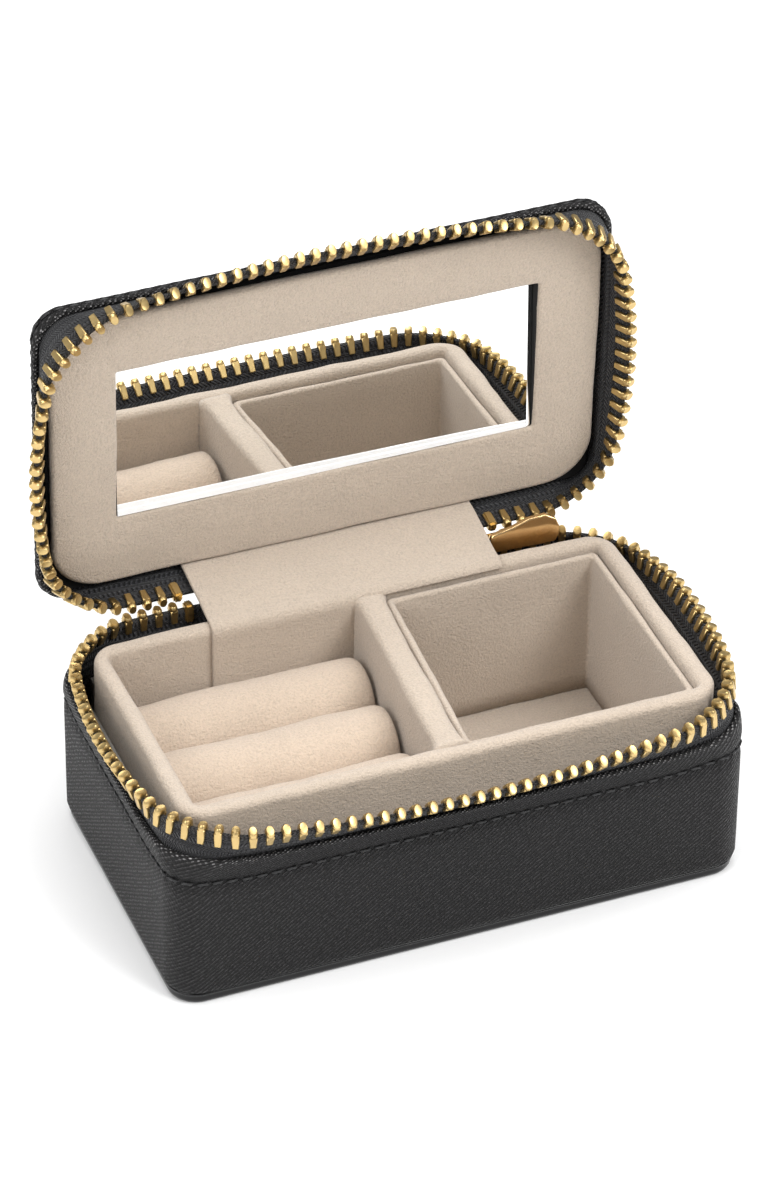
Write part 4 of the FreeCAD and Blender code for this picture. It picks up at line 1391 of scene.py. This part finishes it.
def build_flap():
    g = lining()
    lo, hi = (Vector(c) for c in frame_box("hinge_flap"))
    path = [Vector((0, y, z)) for y, z in flap_path()]
    tail_z = lo.z
    last = path[-1]
    for k in range(1, 7):
        path.append(Vector((0, last.y, last.z + (tail_z - last.z) * k / 6)))
    smooth = resample(path, 0.7 * MM)
    tail_from = next(i for i, p in enumerate(smooth) if p.y < tray_plan()[3] + 0.3 * MM and p.z < g.rim)
    tail_x = divider_line(tray_plan()[3]) - 2.4 * MM - 0.3 * MM
    columns = [lo.x + (hi.x - lo.x) * k / 50 for k in range(51)]
    columns = sorted([x for x in columns if abs(x - tail_x) > 0.5 * MM] + [tail_x])
    bm = bmesh.new()
    layer = bm.loops.layers.uv.new("UVMap")
    grid = []
    for i, p in enumerate(smooth):
        row = []
        for x in columns:
            slack = noise.noise(Vector((x * 45, i * 0.10, 2.0)))
            free = 1.0 if i < tail_from else 0.35
            row.append(bm.verts.new((x, p.y, p.z + 0.22 * MM * slack * free)))
        grid.append(row)
    for i in range(len(smooth) - 1):
        for j in range(len(columns) - 1):
            if i >= tail_from + 1 and columns[j] >= tail_x - 1e-9:
                continue
            face = bm.faces.new((grid[i][j], grid[i][j + 1], grid[i + 1][j + 1], grid[i + 1][j]))
            for corner in face.loops:
                corner[layer].uv = (corner.vert.co.x, corner.vert.co.y)
    loose = [v for v in bm.verts if not v.link_faces]
    bmesh.ops.delete(bm, geom=loose, context="VERTS")
    bmesh.ops.recalc_face_normals(bm, faces=bm.faces)
    piece = new_piece("hinge_flap_suede", bm, lining_suede())
    thicken(piece, g.flap)
    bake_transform(piece)
    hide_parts("hinge_flap")


def resample(points, spacing):
    """Even points along a Catmull-Rom curve through the given points."""
    dense = []
    for i in range(len(points) - 1):
        p0 = points[max(i - 1, 0)]
        p1 = points[i]
        p2 = points[i + 1]
        p3 = points[min(i + 2, len(points) - 1)]
        for k in range(24):
            t = k / 24
            dense.append(0.5 * ((2 * p1) + (p2 - p0) * t + (2 * p0 - 5 * p1 + 4 * p2 - p3) * t * t
                                + (3 * p1 - p0 - 3 * p2 + p3) * t ** 3))
    dense.append(points[-1])
    total = sum((b - a).length for a, b in zip(dense[:-1], dense[1:]))
    count = max(2, round(total / spacing))
    out = [dense[0]]
    travelled = 0.0
    target = total / count
    for a, b in zip(dense[:-1], dense[1:]):
        step = (b - a).length
        while step > 0 and target <= travelled + step + 1e-12 and len(out) < count:
            out.append(a.lerp(b, (target - travelled) / step))
            target += total / count
        travelled += step
    out.append(dense[-1])
    return out


def build_lid_panel():
    """Suede panel inside the lid with a soft-edged window for the mirror."""
    s = shell()
    g = lining()
    hinge_z = s.base_edge + s.hinge_rise
    z0 = hinge_z + 6.0 * MM
    z1 = z0 + 1.5 * MM
    px = s.length / 2 - 2.0 * MM
    y_front = -s.width / 2 + 1.8 * MM
    y_back = s.width / 2 - 3.0 * MM
    centre = (y_front + y_back) / 2
    half = (y_back - y_front) / 2
    wx = px - 11.2 * MM
    wf = y_front + 10.8 * MM
    wb = y_back - 13.0 * MM
    wc = (wf + wb) / 2
    wh = (wb - wf) / 2
    steps = loop_steps(0.8 * MM)

    def ring(f, out, z):
        points = []
        for u in steps:
            ox, oy = loop_point(u, px + out, half + out, half + out, 8.5 * MM)
            ix, iy = loop_point(u, wx - out, wh - out, wh - out, 0.5 * MM)
            points.append(Vector((ix + (ox - ix) * f, (iy + wc) + ((oy + centre) - (iy + wc)) * f, z)))
        return points

    r = 0.9 * MM
    rings = []
    for k in range(7):
        a = math.radians(90 * k / 6)
        rings.append(ring(1.0, -r + r * math.cos(a), z0 + r - r * math.sin(a)))
    count = 14
    for k in range(1, count):
        f = 1 - k / count
        rings.append(ring(f, -r, z0 - 0.15 * MM * math.sin(math.pi * f)))
    r2 = 0.55 * MM
    for k in range(6):
        a = math.radians(90 * k / 5)
        rings.append(ring(0.0, -r2 + r2 * math.sin(a) - 0.0, z0 + r2 - r2 * math.cos(a)))
    rings.append(ring(0.0, 0.0, z1))
    rings.append(ring(1.0, 0.0, z1))
    bm = loft(rings, closed_profile=True)
    soften(bm, g.softness * 0.7, 200.0, 12.0)
    soften(bm, g.softness * 1.2, 45.0, 13.0)
    bm.transform(turned_lid())
    piece = new_piece("lid_panel", bm, lining_suede())
    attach(piece, "lid")
    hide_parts("lid_lining_panel")
    build_window_edge(lambda out, z: ring(0.0, out, z))


def build_window_edge(window):
    """Black ring inside the mirror's window, painted shade of the recess round the glass; window(out, z)
    gives a ring.
    """
    s = shell()
    z0 = s.base_edge + s.hinge_rise + 6.5 * MM
    z1 = z0 + 1.9 * MM
    rings = [window(0.06 * MM, z0), window(0.06 * MM, z1), window(-0.5 * MM, z1), window(-0.5 * MM, z0)]
    bm = loft(rings, closed_profile=True)
    bm.transform(turned_lid())
    # A black ring standing in for the shade in the window's recess.
    edge = new_piece("window_cut_edge", bm, plain("Window Shade Black", colours().thread, 1400.0, 0.00005),
                     smooth=False)
    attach(edge, "lid")


def glass_height(y):
    """Front of the mirror above the hinge plane of the closed lid: it leans back in its window."""
    s = shell()
    y_low = s.width / 2 - 16.0 * MM
    y_high = -s.width / 2 + 12.6 * MM
    f = (y_low - y) / (y_low - y_high)
    return s.base_edge + s.hinge_rise + (6.4 + 2.0 * f) * MM


def build_mirror():
    """Silvered glass that leans back in its window, and its ground lower edge."""
    s = shell()
    hinge_z = s.base_edge + s.hinge_rise
    back = hinge_z + 8.6 * MM
    wx = s.length / 2 - 13.2 * MM - 0.12 * MM
    y_low = s.width / 2 - 16.15 * MM
    y_high = -s.width / 2 + 11.6 * MM
    bm = bmesh.new()
    bevel = 0.9 * MM
    rows = []
    for x, sunk in ((-wx, 0.0), (wx - bevel, 0.0), (wx, 0.28 * MM)):
        rows.append([Vector((x, y_low, back)), Vector((x, y_low, glass_height(y_low) + sunk)),
                     Vector((x, y_high, glass_height(y_high) + sunk)), Vector((x, y_high, back + 0.1 * MM))])
    verts = [[bm.verts.new(p) for p in row] for row in rows]
    for a, b in zip(verts[:-1], verts[1:]):
        for k in range(4):
            bm.faces.new((a[k], a[(k + 1) % 4], b[(k + 1) % 4], b[k]))
    bm.faces.new(verts[0][::-1])
    bm.faces.new(verts[-1])
    bmesh.ops.recalc_face_normals(bm, faces=bm.faces)
    bm.transform(turned_lid())
    if bm.calc_volume(signed=True) < 0:
        bmesh.ops.reverse_faces(bm, faces=bm.faces)
    pane = new_piece("mirror_pane", bm, mirror_glass(), smooth=False)
    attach(pane, "lid")
    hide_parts("lid_mirror")
    bm = bmesh.new()
    sections = []
    count = 60
    for k in range(count + 1):
        x = -wx + (2 * wx - 1.0 * MM) * k / count
        wide = 2.3 * MM + 0.22 * MM * noise.noise(Vector((x * 60, 1, 1))) - 0.9 * MM * (k / count) ** 3
        rise = 0.13 * MM + 0.04 * MM * noise.noise(Vector((x * 120, 4, 1)))
        face = glass_height(y_low)
        sections.append([Vector((x, y_low, face + 0.1 * MM)), Vector((x, y_low, face - rise)),
                         Vector((x, y_low - wide * 0.45, glass_height(y_low - wide * 0.45) - rise)),
                         Vector((x, y_low - wide * 0.5, glass_height(y_low - wide * 0.5) - rise * 0.4)),
                         Vector((x, y_low - wide * 0.9, glass_height(y_low - wide * 0.9) - rise * 0.6)),
                         Vector((x, y_low - wide, glass_height(y_low - wide) + 0.05 * MM))])
    verts = [[bm.verts.new(p) for p in row] for row in sections]
    for a, b in zip(verts[:-1], verts[1:]):
        for k in range(6):
            bm.faces.new((a[k], a[(k + 1) % 6], b[(k + 1) % 6], b[k]))
    bm.faces.new(verts[0][::-1])
    bm.faces.new(verts[-1])
    bmesh.ops.recalc_face_normals(bm, faces=bm.faces)
    bm.transform(turned_lid())
    strip = new_piece("mirror_ground_edge", bm, ground_glass(), smooth=False)
    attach(strip, "lid")


# ---------------------------------------------------------------- slider and pull

def outline_prism(outline, axis_y0, axis_y1, bevel):
    """Flat plate in the XZ plane from y0 to y1 with rounded edges."""
    bm = bmesh.new()
    near = [bm.verts.new((x, axis_y0, z)) for x, z in outline]
    far = [bm.verts.new((x, axis_y1, z)) for x, z in outline]
    bm.faces.new(near)
    bm.faces.new(far[::-1])
    count = len(outline)
    for k in range(count):
        bm.faces.new((near[k], far[k], far[(k + 1) % count], near[(k + 1) % count]))
    bmesh.ops.recalc_face_normals(bm, faces=bm.faces)
    sharp = [e for e in bm.edges if e.calc_face_angle(0) > math.radians(50)]
    bmesh.ops.bevel(bm, geom=sharp, offset=bevel, segments=3, affect="EDGES", profile=0.5)
    return bm


def rounded_outline(x0, x1, z0, z1, radii):
    """Corner order: low-left, low-right, high-right, high-left."""
    spots = ((x0, z0, 180), (x1, z0, 270), (x1, z1, 0), (x0, z1, 90))
    points = []
    for (x, z, start), r in zip(spots, radii):
        cx = x + r if x == x0 else x - r
        cz = z + r if z == z0 else z - r
        for k in range(7):
            a = math.radians(start + 90 * k / 6)
            points.append((cx + r * math.cos(a), cz + r * math.sin(a)))
    return points


def join_into(bm, other):
    mesh = bpy.data.meshes.new("part")
    other.to_mesh(mesh)
    other.free()
    bm.from_mesh(mesh)
    bpy.data.meshes.remove(mesh)


def build_slider():
    s = shell()
    lo, hi = (Vector(c) for c in frame_box("slider_body"))
    hinge_y = s.width / 2 - s.hinge_inset
    hinge_z = s.base_edge + s.hinge_rise
    y_in = hinge_y - 1.3 * MM
    y_out = hinge_y + 1.3 * MM
    low = hinge_z - 3.0 * MM
    top = hinge_z + 3.0 * MM
    plate = [(lo.x, low + 0.6 * MM), (lo.x + 0.6 * MM, low), (hi.x - 2.2 * MM, low),
             (hi.x - 0.6 * MM, low + 0.7 * MM), (hi.x, low + 2.2 * MM),
             (hi.x, top - 2.2 * MM), (hi.x - 0.6 * MM, top - 0.7 * MM), (hi.x - 2.2 * MM, top),
             (lo.x + 7.0 * MM, top - 0.5 * MM), (lo.x + 4.0 * MM, top - 1.6 * MM),
             (lo.x + 0.6 * MM, top - 2.3 * MM), (lo.x, top - 3.0 * MM)]
    bm = outline_prism(plate, y_in - 1.0 * MM, y_in, 0.25 * MM)
    bend = hi.x - 3.2 * MM
    for v in bm.verts:
        v.co.y -= 1.5 * MM * max(v.co.x - bend, 0) / (3.2 * MM)
    outer = outline_prism(rounded_outline(lo.x, hi.x, lo.z, hinge_z - 1.9 * MM,
                                          [1.2 * MM, 1.2 * MM, 0.4 * MM, 0.4 * MM]),
                          y_out, y_out + 0.8 * MM, 0.2 * MM)
    join_into(bm, outer)
    post = outline_prism(rounded_outline(hi.x - 1.6 * MM, hi.x - 0.3 * MM, hinge_z - 1.75 * MM,
                                         hinge_z - 1.45 * MM, [0.12 * MM] * 4),
                         y_in - 1.5 * MM, y_out + 0.4 * MM, 0.05 * MM)
    join_into(bm, post)
    leg = outline_prism(rounded_outline(hi.x - 1.6 * MM, hi.x - 0.3 * MM, hinge_z - 2.4 * MM,
                                        hinge_z - 1.45 * MM, [0.12 * MM] * 4),
                        y_out, y_out + 0.4 * MM, 0.1 * MM)
    join_into(bm, leg)
    piece = new_piece("slider", bm, slider_gold())
    shade_by_angle(piece)
    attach(piece, "slider")
    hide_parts("slider_body")


def shade_by_angle(piece):
    piece.data.set_sharp_from_angle(angle=math.radians(40))


def build_bail_and_pull():
    lo, hi = (Vector(c) for c in frame_box("slider_bail"))
    mid = (lo.x + hi.x) / 2
    z = (lo.z + hi.z) / 2
    bm = bmesh.new()
    sections = []
    for k in range(33):
        a = math.pi * k / 32
        x = mid - 2.5 * MM * math.cos(a)
        out = 1.25 * MM * math.sin(a) ** 0.5
        sections.append((Vector((x, lo.y + out, z)), 0.45 * MM))
    rings = []
    for i, (p, r) in enumerate(sections):
        before = sections[max(i - 1, 0)][0]
        after = sections[min(i + 1, len(sections) - 1)][0]
        t = (after - before).normalized()
        n = t.cross(Vector((0, 0, 1))).normalized()
        rings.append([p + (n * math.cos(b) + Vector((0, 0, 1)) * math.sin(b)) * r
                      for b in [2 * math.pi * j / 10 for j in range(10)]])
    bm = loft(rings, cap_start=True, cap_end=True)
    bail = new_piece("slider_bail_loop", bm, slider_gold())
    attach(bail, "slider")
    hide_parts("slider_bail")
    lo, hi = (Vector(c) for c in frame_box("pull_tab"))
    outline = []
    half = (hi.x - lo.x) / 2
    cx = (hi.x + lo.x) / 2
    height = hi.z - lo.z
    for k in range(25):
        a = math.pi + math.pi * k / 24
        outline.append((cx + half * math.cos(a), lo.z + half + half * math.sin(a)))
    for k in range(13):
        f = k / 12
        w = half + (1.9 * MM - half) * smooth_step(f)
        outline.append((cx + w, lo.z + half + (height - half) * f))
    for k in range(12, -1, -1):
        f = k / 12
        w = half + (1.9 * MM - half) * smooth_step(f)
        outline.append((cx - w, lo.z + half + (height - half) * f))
    clean = []
    for p in outline:
        if not clean or (Vector(p) - Vector(clean[-1])).length > 0.02 * MM:
            clean.append(p)
    if (Vector(clean[0]) - Vector(clean[-1])).length < 0.02 * MM:
        clean.pop()
    bm = bmesh.new()
    hole = [(cx + 1.6 * MM * math.cos(2 * math.pi * k / 32),
             lo.z + 4.2 * MM + 1.6 * MM * math.sin(2 * math.pi * k / 32))
            for k in range(32)]
    edges = []
    for loop in (clean, hole):
        verts = [bm.verts.new((px, lo.y, pz)) for px, pz in loop]
        edges += [bm.edges.new((verts[i], verts[(i + 1) % len(verts)])) for i in range(len(verts))]
    bmesh.ops.triangle_fill(bm, edges=edges, use_beauty=True)
    thick = bmesh.ops.extrude_face_region(bm, geom=list(bm.faces))
    for element in thick["geom"]:
        if isinstance(element, bmesh.types.BMVert):
            element.co.y = hi.y
    bmesh.ops.recalc_face_normals(bm, faces=bm.faces)
    rim = [e for e in bm.edges if e.calc_face_angle(0) > math.radians(60)]
    bmesh.ops.bevel(bm, geom=rim, offset=0.25 * MM, segments=3, affect="EDGES")
    tab = new_piece("pull_tab_plate", bm, slider_gold())
    shade_by_angle(tab)
    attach(tab, "pull")
    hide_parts("pull_tab")
    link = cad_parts["pull_link"]
    link.data.materials.clear()
    link.data.materials.append(slider_gold())


def finish_hidden_nodes():
    """Boards and foam inside the case keep their frame shape and get their own finishes."""
    board = plain("Greyboard", colours().board, 1400.0, 0.00006)
    foam = plain("Open Cell Foam", colours().foam, 1800.0, 0.00015)
    black = plain("Black Board", colours().thread, 1400.0, 0.00006)
    for name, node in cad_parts.items():
        if name in ("lid_board", "lid_mirror_frame"):
            node.data.materials.clear()
            node.data.materials.append(black)
        elif name.endswith("_board"):
            node.data.materials.clear()
            node.data.materials.append(board)
        elif name == "ring_roll_foam_cores":
            node.data.materials.clear()
            node.data.materials.append(foam)
        elif name == "tray_floor":
            node.data.materials.clear()
            node.data.materials.append(lining_suede())


# ---------------------------------------------------------------- stage

def build_stage():
    floor = bmesh.new()
    bmesh.ops.create_grid(floor, x_segments=1, y_segments=1, size=3.0)
    material, tree, shader = new_material("Pale Paper")
    if tree is not None:
        grain = place_group(tree, "Fine Grain", grain_group, Vector=object_vector(tree), Scale=400.0,
                            Drift_Scale=3.0)
        tree.links.new(mix_colour(tree, grain["Drift"], (0.93, 0.93, 0.93, 1), (0.95, 0.95, 0.95, 1)),
                       shader.inputs["Base Color"])
        shader.inputs["Roughness"].default_value = 0.9
    ground = new_piece("floor", floor, material, smooth=False)

    world = bpy.data.worlds.new("Soft white studio")
    world.use_nodes = True
    world.node_tree.nodes["Background"].inputs["Color"].default_value = (1, 1, 1, 1)
    world.node_tree.nodes["Background"].inputs["Strength"].default_value = 0.36
    bpy.context.scene.world = world
    bpy.context.scene.view_settings.view_transform = "Standard"

    for name, place, aim, spread_m, watts in (
            ("key softbox", (0.5, -0.65, 0.95), (0, 0, 0.03), 0.6, 11.0),
            ("fill softbox", (-0.8, -0.4, 0.8), (0, 0, 0.03), 0.7, 6.0),
            ("top softbox", (-0.05, 0.25, 1.2), (0, 0, 0.03), 0.9, 12.0)):
        light = bpy.data.lights.new(name, "AREA")
        light.energy = watts
        light.size = spread_m
        lamp = bpy.data.objects.new(name, light)
        lamp.location = place
        lamp.rotation_euler = (Vector(aim) - Vector(place)).to_track_quat("-Z", "Y").to_euler()
        bpy.context.scene.collection.objects.link(lamp)

    lens = bpy.data.cameras.new("camera")
    lens.lens = 163.05
    lens.sensor_width = 36.0
    lens.clip_start = 0.01
    camera = bpy.data.objects.new("camera", lens)
    place = Vector((-0.2641, -0.6483, 0.5712))
    aim = Vector((-0.0022, 0.0, 0.0499))
    look = (aim - place).to_track_quat("-Z", "Y")
    camera.matrix_world = Matrix.Translation(place) @ look.to_matrix().to_4x4() @ Matrix.Rotation(
        math.radians(0.72), 4, "Z")
    bpy.context.scene.collection.objects.link(camera)
    bpy.context.scene.camera = camera


# ---------------------------------------------------------------- operators

class CASE_OT_leather_shell(bpy.types.Operator):
    """Leather covers of base and lid, bottom plate and outer hinge panel"""
    bl_idname = "jewelry_case.leather_shell"
    bl_label = "Leather Shell"

    def execute(self, context):
        build_base_cover()
        build_bottom_plate()
        build_lid_cover()
        build_hinge_panel()
        return {"FINISHED"}


class CASE_OT_stitching(bpy.types.Operator):
    """Seams of base and lid, stitch by stitch"""
    bl_idname = "jewelry_case.stitching"
    bl_label = "Stitching"

    def execute(self, context):
        build_stitching(False)
        build_stitching(True)
        return {"FINISHED"}


class CASE_OT_zip(bpy.types.Operator):
    """Tapes, teeth and end stops of the zip"""
    bl_idname = "jewelry_case.zip"
    bl_label = "Zip"

    def execute(self, context):
        for lid in (False, True):
            build_tape(lid)
            build_teeth(lid)
            build_stops(lid)
        return {"FINISHED"}


class CASE_OT_slider(bpy.types.Operator):
    """Slider, bail and pull"""
    bl_idname = "jewelry_case.slider"
    bl_label = "Slider and Pull"

    def execute(self, context):
        build_slider()
        build_bail_and_pull()
        return {"FINISHED"}


class CASE_OT_tray(bpy.types.Operator):
    """Tray rim, divider and compartment liner in suede"""
    bl_idname = "jewelry_case.tray"
    bl_label = "Tray"

    def execute(self, context):
        build_tray_rim()
        build_divider()
        build_liner()
        return {"FINISHED"}


class CASE_OT_ring_rolls(bpy.types.Operator):
    """Three suede-covered foam rolls that hold rings"""
    bl_idname = "jewelry_case.ring_rolls"
    bl_label = "Ring Rolls"

    def execute(self, context):
        for seed, which in enumerate(("front", "middle", "back")):
            build_roll(which, 20.0 + 3 * seed)
        return {"FINISHED"}


class CASE_OT_lid_lining(bpy.types.Operator):
    """Lid panel, mirror and the suede flap over the hinge"""
    bl_idname = "jewelry_case.lid_lining"
    bl_label = "Lid Lining"

    def execute(self, context):
        build_lid_panel()
        build_mirror()
        build_flap()
        return {"FINISHED"}


class CASE_OT_hidden(bpy.types.Operator):
    """Finishes for the boards and foam inside the case"""
    bl_idname = "jewelry_case.hidden"
    bl_label = "Boards and Foam"

    def execute(self, context):
        finish_hidden_nodes()
        return {"FINISHED"}


class CASE_OT_stage(bpy.types.Operator):
    """Pale floor, soft lights and the camera"""
    bl_idname = "jewelry_case.stage"
    bl_label = "Stage"

    def execute(self, context):
        build_stage()
        return {"FINISHED"}


OPERATORS = (CASE_OT_leather_shell, CASE_OT_stitching, CASE_OT_zip, CASE_OT_slider, CASE_OT_tray,
             CASE_OT_ring_rolls, CASE_OT_lid_lining, CASE_OT_hidden, CASE_OT_stage)


class CASE_PT_panel(bpy.types.Panel):
    bl_label = "Jewelry Case"
    bl_idname = "CASE_PT_panel"
    bl_space_type = "VIEW_3D"
    bl_region_type = "UI"
    bl_category = "Jewelry Case"

    def draw(self, context):
        for group in (context.scene.case_shell, context.scene.case_lining, context.scene.case_zip,
                      context.scene.case_colours):
            box = self.layout.box()
            for prop in group.bl_rna.properties:
                if prop.identifier not in ("rna_type", "name"):
                    box.prop(group, prop.identifier)
        for operator in OPERATORS:
            self.layout.operator(operator.bl_idname)


GROUPS = {"case_shell": ShellSizes, "case_lining": LiningSizes, "case_zip": ZipSizes,
          "case_colours": CaseColours}


def register():
    for name, group in GROUPS.items():
        bpy.utils.register_class(group)
        setattr(bpy.types.Scene, name, bpy.props.PointerProperty(type=group))
    for operator in OPERATORS:
        bpy.utils.register_class(operator)
    bpy.utils.register_class(CASE_PT_panel)


def unregister():
    bpy.utils.unregister_class(CASE_PT_panel)
    for operator in reversed(OPERATORS):
        bpy.utils.unregister_class(operator)
    for name, group in GROUPS.items():
        delattr(bpy.types.Scene, name)
        bpy.utils.unregister_class(group)


def main():
    register()
    for operator in OPERATORS:
        group, _, action = operator.bl_idname.partition(".")
        getattr(getattr(bpy.ops, group), action)()


if __name__ == "__main__":
    main()
